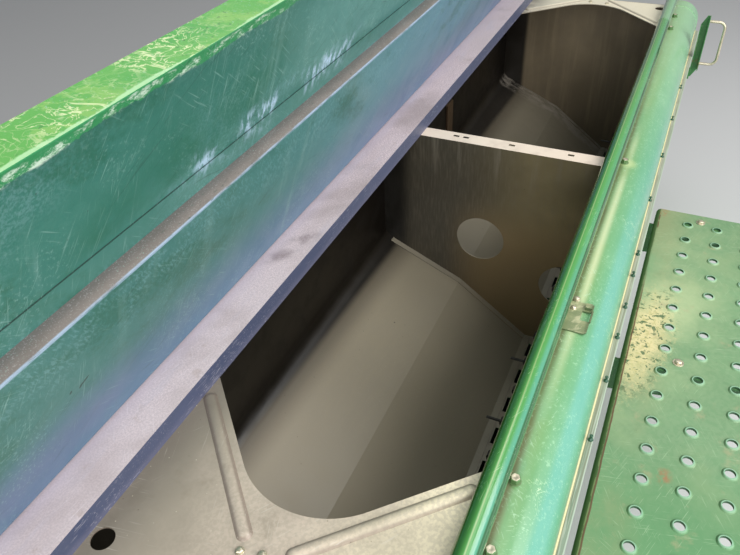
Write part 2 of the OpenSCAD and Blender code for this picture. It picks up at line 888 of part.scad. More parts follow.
module strut_cylinder(x) {
    color([0.15, 0.15, 0.15]) strut_placed(x) difference() {
        union() {
            rod_x(-eye_t / 2, eye_t / 2, 0, 0, eye_d);
            cylinder(h = cylinder_l, d = strut_d);
        }
        rod_x(-strut_d, strut_d, 0, 0, strut_pin_d + 0.1);
        for (side = [-1, 1])
            translate([side > 0 ? eye_t / 2 : -eye_t / 2 - strut_d, -eye_d, -eye_d])
                cube([strut_d, 2 * eye_d, eye_d + 20]);
        translate([0, 0, cylinder_l - rod_overlap - strut_stroke])
            cylinder(h = rod_overlap + strut_stroke + 1, d = strut_rod_d + 0.1);
    }
}

module strut_rod(x) {
    color([0.75, 0.75, 0.75]) strut_placed(x) {
        translate([0, 0, cylinder_l - rod_overlap])
            cylinder(h = strut_l - cylinder_l + rod_overlap - eye_d / 2 + 3, d = strut_rod_d);
        translate([0, 0, strut_l]) difference() {
            rod_x(-eye_t / 2, eye_t / 2, 0, 0, eye_d);
            rod_x(-eye_t, eye_t, 0, 0, strut_pin_d + 4);
        }
    }
}

module strut_cylinder_near() {
    strut_cylinder(near_strut_x);
}

module strut_cylinder_far() {
    strut_cylinder(far_strut_x);
}

module strut_rod_near() {
    strut_rod(near_strut_x);
}

module strut_rod_far() {
    strut_rod(far_strut_x);
}

catch_w = 24;
catch_t = 3;
catch_h = 30;

module lid_catch() {
    color([0.6, 0.6, 0.5]) lid_placed()
        translate([latch_x - catch_w / 2, -lid_reach - catch_t, skin_w + lid_sheet - fold_h])
            cube([catch_w, catch_t, catch_h]);
}

stub_l = 40;
stub_step = 5;

module agitator() {
    shaft_near = -near_end - bearing_w - 6;
    color([0.6, 0.6, 0.6]) placed() {
        rod_x(shaft_near, far_end + bearing_w + 10, -trough_back, agitator_z, agitator_d);
        rod_x(shaft_near - stub_l, shaft_near, -trough_back, agitator_z, agitator_d - stub_step);
    }
}

finger_d = 8;
collar_w = 16;

module agitator_fingers() {
    color([0.55, 0.55, 0.5]) placed() for (i = [0 : len(row_x) - 1])
        translate([row_x[i], -trough_back, agitator_z]) rotate([90 * (i % 2), 0, 0]) difference() {
            union() {
                rod_x(-collar_w / 2, collar_w / 2, 0, 0, agitator_d + 12);
                translate([0, 0, -finger_l]) cylinder(h = 2 * finger_l, d = finger_d);
            }
            rod_x(-collar_w, collar_w, 0, 0, agitator_d + 0.5);
        }
}

// Fluted roller: for each flute two corners on the crest and two on the ground
module roller_outline() {
    step = 360 / flutes;
    polygon([
        for (i = [0 : flutes - 1], c = [[-0.2, 1], [0.2, 1], [0.32, 0], [0.68, 0]])
            let (r = (c[1] > 0 ? roller_d : roller_low_d) / 2, a = (i + c[0]) * step) [r * cos(a), r * sin(a)]
    ]);
}

module metering_shaft() {
    shaft_near = row_x[rows_a_side - 1] - unit_half - 30;
    color([0.6, 0.6, 0.6]) placed() {
        rod_x(shaft_near, row_x[2 * rows_a_side - 1] + unit_half + 10, -trough_back, meter_z, meter_shaft_d);
        rod_x(shaft_near - stub_l, shaft_near, -trough_back, meter_z, meter_shaft_d - stub_step);
        for (x = row_x) translate([x - 25, -trough_back, meter_z]) rotate([90, 0, 90])
            linear_extrude(50) roller_outline();
    }
}

front_and_floor_sheet();
rear_sheet();
trough_plate();
end_wall_near();
end_wall_far();
end_shelf_near();
end_shelf_far();
partition();
wall_strap();
front_rim();
rear_rim();
rim_edge_strip();
rim_tube();
tube_saddles();
latch_plate();
metering_units();
shaft_bearings();
foot_near();
foot_far();
walkway_board();
walkway_arms();
grab_handle();
handle_plate();
hinge_lugs();
strut_brackets();
lid_skin();
lid_box();
lid_end_near();
lid_end_far();
lid_hinge_pins();
lid_strut_studs();
lid_catch();
agitator();
agitator_fingers();
metering_shaft();
strut_cylinder_near();
strut_cylinder_far();
strut_rod_near();
strut_rod_far();
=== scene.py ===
"""Looks of a seed drill's hopper: worn green paint, bare inner sheets, bolts, clips, studio."""
import math
import random

import bpy
from mathutils import Matrix, Vector


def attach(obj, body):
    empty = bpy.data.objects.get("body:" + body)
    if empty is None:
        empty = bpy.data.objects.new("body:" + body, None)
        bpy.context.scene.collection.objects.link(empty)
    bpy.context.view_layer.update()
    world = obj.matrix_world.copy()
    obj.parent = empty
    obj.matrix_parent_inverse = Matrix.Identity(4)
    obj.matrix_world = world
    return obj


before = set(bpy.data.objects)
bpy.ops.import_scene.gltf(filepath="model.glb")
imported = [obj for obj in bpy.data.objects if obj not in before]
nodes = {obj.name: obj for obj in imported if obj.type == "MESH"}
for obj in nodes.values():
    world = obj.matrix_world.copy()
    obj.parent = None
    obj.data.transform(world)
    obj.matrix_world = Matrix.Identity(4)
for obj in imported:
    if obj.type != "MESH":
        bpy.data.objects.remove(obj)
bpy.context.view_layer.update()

# The hopper's drawing and the row's frame: Y of the feet's middle and height of the rim, in millimetres
FOOT_MID = 160
RIM_UP = 830

X = (1, 0, 0)
Y = (0, 1, 0)
Z = (0, 0, 1)
NEAR = (-1, 0, 0)
REAR = (0, -1, 0)

# The lid rests open: its angle, its hinge in metres, its directions up the plate and out of its back
LID_DEG = 69
LID_OPEN = math.radians(LID_DEG)
HINGE = (0.0, 0.195, 0.888)
LID_S = (0.0, -math.cos(LID_OPEN), math.sin(LID_OPEN))
LID_W = (0.0, math.sin(LID_OPEN), math.cos(LID_OPEN))
LID_BOX_W = -0.0096
# Dark scuffs on the lid's box: X, way up the plate, angle in degrees, half length
LID_MARKS = ((-1.317, 0.188, 24, 0.011), (-1.345, 0.191, 70, 0.004), (-1.325, 0.184, 50, 0.006))
# Darker stains on the lid's upper panel: X, Z, half length
LID_STAINS = ((-1.06, 1.31, 0.16), (-0.9, 1.34, 0.12), (-1.24, 1.27, 0.1))

# Heights in metres of the flat tops that carry wear at fixed places, and those places in X and Y
FLANGE_Z = 0.853
FLANGE_SMUDGES = ((-0.75, 0.158), (-0.68, 0.14))
RIM_Z = 0.822
WALKWAY_Z = 0.643
WALKWAY_RUST = ((0.094, -0.592), (-0.83, -0.70))
# Chips in the walkway's worn patch: scale, threshold, stretch
CHIPS = ((64, 0.6, (0.7, 1, 1)), (130, 0.6, (1, 0.6, 1)), (34, 0.65, (1, 0.5, 1)))

# Display colours that several looks share
PAINT = (58, 124, 66)
DUST = (150, 156, 120)


def at(x, y, z):
    """Hopper place in millimetres to the row's frame in metres."""
    return Vector((x / 1000, (y - FOOT_MID) / 1000, (z + RIM_UP) / 1000))


def radians(turn):
    return [math.radians(a) for a in turn]


def srgb(r, g, b):
    """Display colour, 0 to 255, to linear RGBA."""
    out = []
    for c in (r, g, b):
        c /= 255
        out.append(c / 12.92 if c <= 0.04045 else ((c + 0.055) / 1.055) ** 2.4)
    return (*out, 1.0)


class Shade:
    """A material built up in layers from Object coordinates."""

    def __init__(self, name, colour, rough=0.5, metallic=0.0, coat=0.0, coat_rough=0.15):
        self.mat = bpy.data.materials.new(name)
        self.mat.use_nodes = True
        self.tree = self.mat.node_tree
        self.shader = self.tree.nodes["Principled BSDF"]
        self.shader.inputs["Metallic"].default_value = metallic
        self.shader.inputs["Coat Weight"].default_value = coat
        self.shader.inputs["Coat Roughness"].default_value = coat_rough
        coords = self.node("ShaderNodeTexCoord")
        self.place = coords.outputs["Object"]
        self.normal = coords.outputs["Normal"]
        self.colour = colour
        self.rough = rough
        self.height = None

    def node(self, kind, **settings):
        made = self.tree.nodes.new(kind)
        for key, value in settings.items():
            setattr(made, key, value)
        return made

    def put(self, socket, value):
        if isinstance(value, bpy.types.NodeSocket):
            self.tree.links.new(value, socket)
        else:
            socket.default_value = value

    def maths(self, op, a, b=0.0):
        made = self.node("ShaderNodeMath", operation=op)
        self.put(made.inputs[0], a)
        self.put(made.inputs[1], b)
        return made.outputs[0]

    def dot(self, vector, axis):
        made = self.node("ShaderNodeVectorMath", operation="DOT_PRODUCT")
        self.put(made.inputs[0], vector)
        made.inputs[1].default_value = axis
        return made.outputs["Value"]

    def ramp(self, x, low, high):
        """Nought at low, one at high, smooth between; low may be the greater."""
        made = self.node("ShaderNodeMapRange", interpolation_type="SMOOTHSTEP")
        self.put(made.inputs["Value"], x)
        made.inputs["From Min"].default_value = low
        made.inputs["From Max"].default_value = high
        return made.outputs["Result"]

    def band(self, x, low, high, soft):
        """One between low and high, nought outside, with soft edges."""
        up = self.ramp(x, low - soft, low + soft)
        down = self.ramp(x, high + soft, high - soft)
        return self.maths("MULTIPLY", up, down)

    def both(self, first, *others):
        """One where all of them are one."""
        for other in others:
            first = self.maths("MULTIPLY", first, other)
        return first

    def uneven(self, x, noise, reach):
        """A measure made ragged by a noise."""
        return self.maths("ADD", x, self.maths("MULTIPLY", noise, reach))

    def along(self, axis, offset=0.0):
        """Metres along an axis of the row's frame."""
        return self.maths("SUBTRACT", self.dot(self.place, axis), offset)

    def facing(self, axis, low=0.35, high=0.65):
        """One where the surface looks along the axis."""
        return self.ramp(self.dot(self.normal, axis), low, high)

    def mapped(self, stretch, turn=(0, 0, 0), shift=(0, 0, 0)):
        """Turned first, then stretched, so that the stretch follows the turned axes."""
        made = self.node("ShaderNodeMapping")
        self.put(made.inputs["Vector"], self.place)
        made.inputs["Location"].default_value = shift
        made.inputs["Rotation"].default_value = radians(turn)
        scaled = self.node("ShaderNodeVectorMath", operation="MULTIPLY")
        self.put(scaled.inputs[0], made.outputs["Vector"])
        scaled.inputs[1].default_value = stretch
        return scaled.outputs["Vector"]

    def noise(self, scale, low=0.4, high=0.6, stretch=(1, 1, 1), turn=(0, 0, 0), shift=(0, 0, 0),
              detail=5, rough=0.6):
        """Cloudy noise, nought below low and one above high."""
        made = self.node("ShaderNodeTexNoise")
        self.put(made.inputs["Vector"], self.mapped(stretch, turn, shift))
        made.inputs["Scale"].default_value = scale
        made.inputs["Detail"].default_value = detail
        made.inputs["Roughness"].default_value = rough
        return self.ramp(made.outputs["Fac"], low, high)

    def curls(self, scale, width, stretch=(1, 1, 1), turn=(0, 0, 0), shift=(0, 0, 0)):
        """Thin winding lines, where a twisted noise crosses its middle."""
        made = self.node("ShaderNodeTexNoise")
        self.put(made.inputs["Vector"], self.mapped(stretch, turn, shift))
        made.inputs["Scale"].default_value = scale
        made.inputs["Detail"].default_value = 4
        made.inputs["Distortion"].default_value = 1.5
        off = self.maths("ABSOLUTE", self.maths("SUBTRACT", made.outputs["Fac"], 0.5))
        return self.ramp(off, width, width * 0.3)

    def specks(self, scale, size, shift=(0, 0, 0)):
        """Small round spots, one to a cell."""
        made = self.node("ShaderNodeTexVoronoi", feature="F1")
        self.put(made.inputs["Vector"], self.mapped((1, 1, 1), shift=shift))
        made.inputs["Scale"].default_value = scale
        return self.ramp(made.outputs["Distance"], size, size * 0.4)

    def blob(self, centre, radii, turn=(0, 0, 0), soft=0.5):
        """One at the centre, none past the radii; all in the row's frame, turned about the centre."""
        moved = self.node("ShaderNodeVectorMath", operation="SUBTRACT")
        self.put(moved.inputs[0], self.place)
        moved.inputs[1].default_value = centre
        turned = self.node("ShaderNodeMapping")
        self.put(turned.inputs["Vector"], moved.outputs["Vector"])
        turned.inputs["Rotation"].default_value = radians(turn)
        shrunk = self.node("ShaderNodeVectorMath", operation="DIVIDE")
        self.put(shrunk.inputs[0], turned.outputs["Vector"])
        shrunk.inputs[1].default_value = radii
        far = self.node("ShaderNodeVectorMath", operation="LENGTH")
        self.put(far.inputs[0], shrunk.outputs["Vector"])
        return self.ramp(far.outputs["Value"], 1.0, soft)

    def layer(self, amount, colour, strength=1.0):
        """Lays a colour over what is there, where the amount is one."""
        made = self.node("ShaderNodeMix", data_type="RGBA")
        self.put(made.inputs["Factor"], self.maths("MULTIPLY", amount, strength))
        self.put(made.inputs["A"], self.colour)
        self.put(made.inputs["B"], colour)
        self.colour = made.outputs["Result"]

    def rougher(self, amount, value):
        """Brings the roughness to the value, where the amount is one."""
        made = self.node("ShaderNodeMix", data_type="FLOAT")
        self.put(made.inputs["Factor"], amount)
        self.put(made.inputs["A"], self.rough)
        self.put(made.inputs["B"], value)
        self.rough = made.outputs["Result"]

    def raised(self, amount, height):
        """Height in metres for the fine bump."""
        part = self.maths("MULTIPLY", amount, height)
        self.height = part if self.height is None else self.maths("ADD", self.height, part)

    def done(self):
        """Joins the colour, the roughness and the fine bump to the shader."""
        self.put(self.shader.inputs["Base Color"], self.colour)
        self.put(self.shader.inputs["Roughness"], self.rough)
        if self.height is not None:
            bump = self.node("ShaderNodeBump")
            bump.inputs["Distance"].default_value = 1.0
            self.put(bump.inputs["Height"], self.height)
            self.put(self.shader.inputs["Normal"], bump.outputs["Normal"])
        return self.mat

    def scratches(self, colour, strength, turns, scale=20, length=26, shift=0.0, where=None):
        """Fine marks along the turned X axis, gathered in patches."""
        for k, turn in enumerate(turns):
            place = (shift + 3.1 * k, 1.7 * k, 0.4 * k)
            fac = self.noise(scale, 0.66, 0.72, (1, length, length), turn, place, detail=1)
            fac = self.both(fac, self.noise(scale * 0.3, 0.46, 0.6, (1, 1, 1), turn, place, detail=2))
            if where is not None:
                fac = self.both(fac, where)
            self.layer(fac, colour, strength)


def green_paint(name, base=PAINT, rough=0.38, dust=0.3):
    """Green coat with darker clouds, dust, scratches and rusty spots."""
    s = Shade(name, srgb(*base), rough, coat=0.3, coat_rough=0.25)
    s.layer(s.noise(3.0, 0.35, 0.7), srgb(base[0] * 0.75, base[1] * 0.85, base[2] * 0.75), 0.6)
    s.layer(s.noise(11, 0.5, 0.75, detail=8), srgb(*DUST), dust)
    s.layer(s.ramp(s.dot(s.normal, Z), 0.6, 0.95), srgb(132, 140, 104), dust * 0.7)
    s.scratches(srgb(170, 190, 140), 0.4, [(0, 0, 8), (0, 65, 0), (90, 0, 70)])
    s.layer(s.specks(55, 0.1), srgb(45, 60, 35), 0.6)
    s.layer(s.both(s.noise(9, 0.6, 0.68, detail=8), s.noise(60, 0.45, 0.6)), srgb(122, 78, 48), 0.6)
    s.rougher(s.noise(14, 0.4, 0.7), 0.6)
    s.raised(s.noise(160, 0.3, 0.7, detail=2), 0.00006)
    return s.done()


def lid_paint():
    """Bluish green, by metres up the plate: ledge at 0.344, seam at 0.392, fold from 0.64."""
    s = Shade("lid_paint", srgb(56, 114, 103), 0.4, coat=0.25, coat_rough=0.3)
    along = s.along(LID_S, HINGE[1] * LID_S[1] + HINGE[2] * LID_S[2])
    depth = s.along(LID_W, HINGE[1] * LID_W[1] + HINGE[2] * LID_W[2])
    length = s.along(X)
    # Clouds over the whole inside, then bluer towards the far end as painted sky reflection
    s.layer(s.noise(2.6, 0.38, 0.66, (0.6, 1, 1)), srgb(42, 102, 86), 0.55)
    s.layer(s.noise(7, 0.45, 0.72, (0.6, 1, 1), detail=8, rough=0.7), srgb(82, 136, 122), 0.4)
    # Painted sky reflection: bluer towards the far end
    s.layer(s.ramp(length, -1.3, 1.2), srgb(102, 142, 154), 0.65)
    s.layer(s.both(s.noise(3, 0.42, 0.62, detail=7), s.noise(240, 0.4, 0.62, detail=3)),
            srgb(116, 154, 156), 0.35)
    # Panel between the hinge and the ledge: bluer towards the far end as painted sky reflection, darker
    # at the near end, and a lavender foot that is painted reflection of the flange
    panel = s.ramp(along, 0.352, 0.34)
    s.layer(panel, srgb(70, 134, 128), 0.65)
    s.layer(s.both(panel, s.ramp(length, -1.0, 0.2)), srgb(126, 156, 184), 0.6)
    s.layer(s.both(panel, s.ramp(length, -0.4, -1.3)), srgb(52, 94, 90), 0.45)
    s.layer(s.both(panel, s.noise(5, 0.5, 0.7, (0.7, 1, 1), (LID_DEG, 0, 30), detail=8, rough=0.7)),
            srgb(44, 94, 74), 0.6)
    # Painted reflection of the flange: lavender towards the panel's foot
    s.layer(s.ramp(along, 0.21, 0.03), srgb(80, 110, 142), 0.8)
    s.layer(s.both(s.ramp(along, 0.19, 0.06), s.noise(4, 0.45, 0.65, (0.5, 1, 1), detail=6)),
            srgb(96, 104, 142), 0.45)
    patches = s.noise(5, 0.5, 0.6, (0.5, 1, 1), (LID_DEG, 0, -25), (6, 2, 0), detail=9, rough=0.75)
    cloud = s.both(patches, s.noise(130, 0.3, 0.55, detail=4))
    s.layer(s.both(cloud, s.ramp(along, 0.12, 0.2)), srgb(28, 88, 62), 0.5)
    bright = s.both(s.noise(4.5, 0.52, 0.66, (0.6, 1, 1), shift=(9, 3, 0), detail=8, rough=0.7),
                    s.ramp(along, 0.36, 0.45))
    s.layer(bright, srgb(104, 158, 150), 0.45)
    # Panel above the seam
    upper = s.ramp(along, 0.39, 0.42)
    s.layer(s.both(upper, s.ramp(length, -0.95, -0.6)), srgb(108, 154, 150), 0.4)
    for x, z, reach in LID_STAINS:
        stain = s.blob((x, 0.05, z), (reach, 1, 0.1), soft=0.1)
        s.layer(s.both(stain, upper, s.noise(16, 0.3, 0.6, detail=9, rough=0.75)),
                srgb(36, 98, 76), 0.7)
    brushed = s.both(s.noise(230, 0.48, 0.62, (1, 0.3, 1), (LID_DEG, 0, 34), detail=4),
                     s.noise(6, 0.4, 0.56, detail=5))
    s.layer(s.both(brushed, s.band(along, 0.24, 0.35, 0.05)), srgb(140, 182, 188), 0.28)
    drips = s.noise(26, 0.53, 0.75, (1, 0.07, 1), (LID_DEG, 0, 4), detail=5)
    s.layer(s.both(drips, s.noise(2.2, 0.4, 0.62)), srgb(140, 176, 170), 0.4)
    s.layer(s.both(s.noise(190, 0.56, 0.66, detail=3), s.noise(5, 0.45, 0.62, detail=6)),
            srgb(150, 184, 178), 0.35)
    s.layer(s.noise(70, 0.5, 0.8, detail=8, rough=0.8), srgb(40, 92, 74), 0.3)
    # Light flecks above the seam, the box's rim and the seam's line
    reach = s.both(s.band(along, 0.375, 0.425, 0.022), s.band(length, -1.06, -0.5, 0.1))
    flecks = s.both(s.noise(58, 0.46, 0.56, (1, 0.34, 1), (LID_DEG, 0, 6), detail=7, rough=0.75),
                    s.noise(9, 0.42, 0.56, detail=4))
    s.layer(s.both(flecks, reach), srgb(196, 220, 246), 0.9)
    s.layer(s.band(along, 0.352, 0.3915, 0.003), srgb(66, 122, 112), 0.3)
    s.layer(s.band(along, 0.3918, 0.3923, 0.0002), srgb(18, 34, 30), 0.8)
    # The box's ledge, grey where it faces up as painted reflection of the overhead light, and a painted
    # highlight along the bend below it
    up = s.facing(LID_S)
    ledge = s.both(up, s.band(along, 0.33, 0.36, 0.002))
    # Painted reflection: grey on the up-facing ledge, lighter towards its front
    s.layer(ledge, srgb(94, 88, 86), 0.97)
    s.layer(s.both(ledge, s.ramp(depth, 0.016, -0.006)), srgb(134, 122, 116), 0.8)
    s.layer(s.both(ledge, s.noise(26, 0.4, 0.7, (0.3, 1, 1), detail=7)), srgb(86, 80, 74), 0.5)
    s.layer(s.both(ledge, s.noise(420, 0.58, 0.66, detail=2)), srgb(186, 182, 184), 0.25)
    # Painted highlight along the bend below the ledge
    bend_highlight = s.both(s.ramp(depth, -0.0060, -0.0082), s.band(along, 0.3412, 0.36, 0.0012))
    s.layer(s.both(bend_highlight, s.noise(40, 0.3, 0.56, (0.3, 1, 1), detail=7, rough=0.7)),
            srgb(170, 190, 216), 0.75)
    # Top of the fold along the free edge: flaked, with cream curls
    fold = s.both(up, s.ramp(along, 0.64, 0.65))
    s.layer(fold, srgb(100, 152, 54), 0.97)
    s.layer(s.both(fold, s.noise(6, 0.46, 0.66, (0.6, 1, 1), detail=6)), srgb(122, 168, 78), 0.5)
    flakes = s.both(s.noise(26, 0.5, 0.54, (0.4, 1, 1), (0, 0, 30), detail=9, rough=0.72),
                    s.noise(5, 0.46, 0.6, detail=4))
    s.layer(s.both(fold, flakes), srgb(168, 188, 96), 0.45)
    s.layer(s.both(fold, s.noise(16, 0.5, 0.62, (0.4, 1, 1), (0, 0, 20), (4, 0, 0), detail=8)),
            srgb(64, 134, 44), 0.5)
    rings = s.maths("MAXIMUM", s.curls(34, 0.016, (0.5, 1, 1), (0, 0, 30)),
                    s.curls(58, 0.02, (0.5, 1, 1), (0, 0, 10)))
    spread = s.maths("ADD", s.both(s.band(length, -1.42, -1.1, 0.06), 0.85), 0.1)
    rings = s.both(rings, spread, s.noise(7, 0.34, 0.5, detail=4))
    s.layer(s.both(fold, rings), srgb(244, 236, 190), 0.95)
    crumbs = s.both(s.noise(60, 0.6, 0.63, (0.35, 1, 1), (0, 0, 30), detail=5), s.noise(4, 0.42, 0.6))
    s.layer(s.both(fold, crumbs), srgb(232, 226, 186), 0.8)
    near = s.ramp(length, 0.4, -0.9)
    # Painted highlight along the fold's ragged outer edge
    ragged = s.uneven(depth, s.noise(22, 0.35, 0.7, (0.5, 1, 1), detail=9, rough=0.7), 0.006)
    s.layer(s.both(fold, s.ramp(ragged, -0.0155, -0.0172)), srgb(206, 232, 190), 0.75)
    # Border below the fold, chalky at its near end
    face = s.facing(LID_W, 0.3, -0.3)
    border = s.uneven(along, s.noise(9, 0.3, 0.7, (0.6, 1, 1), detail=9, rough=0.7), 0.012)
    s.layer(s.both(face, s.ramp(border, 0.600, 0.602)), srgb(54, 146, 86), 0.85)
    chalk = s.both(s.noise(46, 0.5, 0.6, (0.5, 1, 1), detail=9, rough=0.8),
                   s.maths("ADD", s.both(near, 0.7), 0.3))
    s.layer(s.both(face, s.band(border, 0.600, 0.614, 0.003), chalk), srgb(222, 238, 220), 0.85)
    s.scratches(srgb(150, 184, 176), 0.35, [(LID_DEG, 0, 62), (LID_DEG, 0, -40), (LID_DEG, 0, 84)],
                scale=14, length=30)
    s.scratches(srgb(28, 66, 54), 0.4, [(LID_DEG, 0, 30), (LID_DEG, 0, -14)], scale=11,
                length=24, shift=9)
    for x, far, angle, reach in LID_MARKS:
        mark = [HINGE[k] + far * LID_S[k] + LID_BOX_W * LID_W[k] for k in range(3)]
        s.layer(s.blob((x, mark[1], mark[2]), (reach, 0.0028, 0.01), (LID_DEG, 0, angle), 0.7),
                srgb(20, 44, 36), 0.85)
    s.layer(s.specks(26, 0.05), srgb(30, 55, 45), 0.5)
    # Plain worn paint on the back
    outside = s.facing(LID_W, 0.5, 0.8)
    s.layer(outside, srgb(*PAINT), 0.94)
    s.layer(s.both(outside, s.noise(3.0, 0.35, 0.7, shift=(5, 0, 0))), srgb(44, 105, 50), 0.6)
    s.layer(s.both(outside, s.noise(11, 0.5, 0.75, shift=(5, 0, 0), detail=8)),
            srgb(*DUST), 0.3)
    s.layer(s.both(outside, s.noise(6, 0.56, 0.68, (0.6, 1, 1), shift=(1, 4, 0), detail=8)),
            srgb(148, 172, 128), 0.3)
    s.rougher(s.noise(8, 0.4, 0.7), 0.55)
    s.rougher(ledge, 0.6)
    s.raised(s.noise(120, 0.3, 0.7, detail=2), 0.00005)
    return s.done()


def front_rim_paint():
    """Pale speckled flange, with its lip towards the opening painted dark blue-grey as shade and sky
    reflection, and a green outer side.
    """
    s = Shade("front_rim_paint", srgb(214, 195, 195), 0.42)
    s.layer(s.noise(330, 0.4, 0.6, detail=2), srgb(158, 140, 148), 0.7)
    s.layer(s.noise(260, 0.54, 0.62, detail=2, shift=(1, 1, 0)), srgb(246, 232, 232), 0.45)
    s.layer(s.noise(2.3, 0.42, 0.64, (0.45, 1, 1)), srgb(180, 166, 164), 0.5)
    near = s.ramp(s.along(X), -0.3, -1.0)
    s.layer(near, srgb(204, 192, 194), 0.5)
    s.layer(s.noise(3.4, 0.46, 0.66, (0.7, 1, 1), (0, 0, 35), (2, 0, 0), detail=4),
            srgb(146, 130, 126), 0.6)
    s.layer(s.noise(24, 0.5, 0.8, (0.2, 1, 1)), srgb(186, 180, 194), 0.4)
    for x, y in FLANGE_SMUDGES:
        smudge = s.both(s.blob((x, y, FLANGE_Z), (0.07, 0.03, 1), (0, 0, 35), soft=0.0),
                        s.noise(30, 0.3, 0.6, detail=6))
        s.layer(smudge, srgb(116, 100, 102), 0.7)
    s.layer(s.noise(30, 0.6, 0.72, detail=8), srgb(150, 128, 112), 0.3)
    s.layer(s.ramp(s.along(Y), 0.15, 0.195), srgb(182, 170, 182), 0.6)
    # The lip is the flange's sheet; its dark blue-grey is painted shade and sky reflection, darker at
    # the near end and lighter at the top
    lip = s.facing(REAR)
    s.layer(lip, srgb(72, 80, 104), 0.96)
    s.layer(s.both(lip, near), srgb(54, 62, 88), 0.6)
    s.layer(s.both(lip, s.ramp(s.along(Z), 0.85, 0.832)), srgb(98, 98, 118), 0.7)
    s.layer(s.both(lip, s.noise(6, 0.45, 0.7, (0.4, 1, 1))), srgb(78, 84, 112), 0.5)
    out = s.facing(Y)
    s.layer(out, srgb(58, 124, 68), 0.95)
    s.scratches(srgb(230, 224, 230), 0.3, [(0, 0, 14), (0, 0, -40), (0, 0, 3)])
    s.layer(s.specks(34, 0.06), srgb(110, 98, 92), 0.4)
    s.raised(s.noise(300, 0.3, 0.7, detail=2), 0.00006)
    s.rougher(s.noise(12, 0.4, 0.7), 0.55)
    return s.done()


def shelf_sheet():
    """Bare sheet, paler towards the rear and the far end; the darker front is painted shade of the lid.
    """
    s = Shade("shelf_sheet", srgb(154, 143, 127), 0.42, metallic=0.1)
    # Painted shade of the lid: the front darker, the rear paler
    s.layer(s.ramp(s.along(Y), 0.05, -0.12), srgb(220, 202, 184), 0.8)
    s.layer(s.ramp(s.along(Y), -0.16, -0.40), srgb(234, 224, 190), 0.9)
    s.layer(s.noise(2.4, 0.38, 0.66, detail=6), srgb(136, 126, 112), 0.6)
    s.layer(s.noise(6.5, 0.48, 0.72, detail=8), srgb(184, 168, 154), 0.45)
    s.layer(s.noise(160, 0.4, 0.6, detail=2), srgb(150, 141, 126), 0.3)
    s.layer(s.noise(16, 0.58, 0.72, detail=9), srgb(124, 112, 94), 0.35)
    s.layer(s.ramp(s.along(X), 0.9, 1.1), srgb(236, 226, 200), 0.8)
    s.layer(s.both(s.ramp(s.along(Y), 0.0, 0.11), s.noise(7, 0.2, 0.55, detail=7)),
            srgb(104, 98, 88), 0.75)
    # Painted shade on the sloping sides of the beads
    s.layer(s.ramp(s.dot(s.normal, Z), 0.98, 0.8), srgb(112, 97, 86), 0.6)
    s.scratches(srgb(205, 198, 186), 0.3, [(0, 0, 35), (0, 0, -20), (0, 0, 80)], scale=16)
    s.layer(s.specks(44, 0.06), srgb(222, 212, 190), 0.5)
    s.layer(s.specks(31, 0.05, shift=(3, 1, 0)), srgb(90, 78, 60), 0.6)
    s.rougher(s.noise(9, 0.4, 0.65), 0.32)
    s.raised(s.noise(210, 0.3, 0.7, detail=2), 0.00005)
    return s.done()


def inner_sheet(name, inner_axes, floor=True, wall=(62, 54, 45), outside=(62, 128, 70)):
    """Bare sheet where it looks along one of the axes, painted outside; flat parts are the floor."""
    s = Shade(name, srgb(*outside), 0.4)
    s.layer(s.noise(9, 0.5, 0.75, detail=8), srgb(150, 160, 120), 0.3)
    s.scratches(srgb(170, 190, 140), 0.4, [(0, 0, 8), (90, 0, 70)])
    inside = None
    for axis in inner_axes:
        part = s.facing(axis, 0.2, 0.3)
        inside = part if inside is None else s.maths("MAXIMUM", inside, part)
    s.layer(inside, srgb(*wall))
    s.layer(s.both(inside, s.noise(3, 0.4, 0.7, detail=5)), srgb(*[c * 1.25 for c in wall]), 0.6)
    s.layer(s.both(inside, s.noise(40, 0.46, 0.74, (1, 1, 0.06), detail=6)),
            srgb(*[c * 1.5 for c in wall]), 0.3)
    if floor:
        low = s.both(inside, s.ramp(s.dot(s.normal, Z), 0.3, 0.85))
        s.layer(low, srgb(153, 143, 121), 0.96)
        s.layer(s.both(low, s.noise(1.7, 0.38, 0.66)), srgb(134, 126, 107), 0.5)
        s.layer(s.both(low, s.noise(90, 0.35, 0.65, (0.25, 1, 1), detail=4)), srgb(144, 136, 118), 0.35)
        s.layer(s.both(low, s.specks(9, 0.03, shift=(2, 0, 1))), srgb(34, 28, 22), 0.8)
        s.scratches(srgb(166, 158, 140), 0.3, [(0, 0, 60), (0, 0, -70), (0, 0, 20)], scale=10,
                    length=40, where=low)
        # Painted shade over the far compartment behind the partition, painted shade in the bend into
        # the front wall, dust before the far wall
        length = s.along(X)
        # Painted shade of the partition over the far compartment's floor
        s.layer(s.both(low, s.ramp(length, 0.56, 0.62)), srgb(76, 71, 58), 0.93)
        s.layer(s.both(low, s.ramp(length, -0.55, -0.95)), srgb(182, 170, 148), 0.6)
        s.layer(s.both(low, s.ramp(length, -0.5, -0.1)), srgb(132, 124, 106), 0.6)
        # Painted shade in the bend between the floor and the front wall
        front = s.uneven(s.along(Y), s.maths("ADD", length, 0.75), 0.03)
        s.layer(s.both(low, s.ramp(front, 0.12, 0.2)), srgb(60, 53, 42), 0.7)
        s.layer(s.both(inside, s.ramp(front, 0.184, 0.209)), srgb(17, 13, 8), 0.96)
        dust = s.both(s.ramp(length, 1.235, 1.262),
                      s.noise(38, 0.38, 0.6, (1, 0.12, 1), detail=7, rough=0.7))
        s.layer(s.both(low, dust), srgb(148, 140, 128), 0.7)
    s.layer(s.both(inside, s.specks(28, 0.045)), srgb(30, 26, 22), 0.5)
    s.rougher(inside, 0.36)
    s.rougher(s.noise(14, 0.4, 0.7), 0.48)
    s.raised(s.noise(240, 0.3, 0.7, detail=2), 0.00003)
    return s.done()


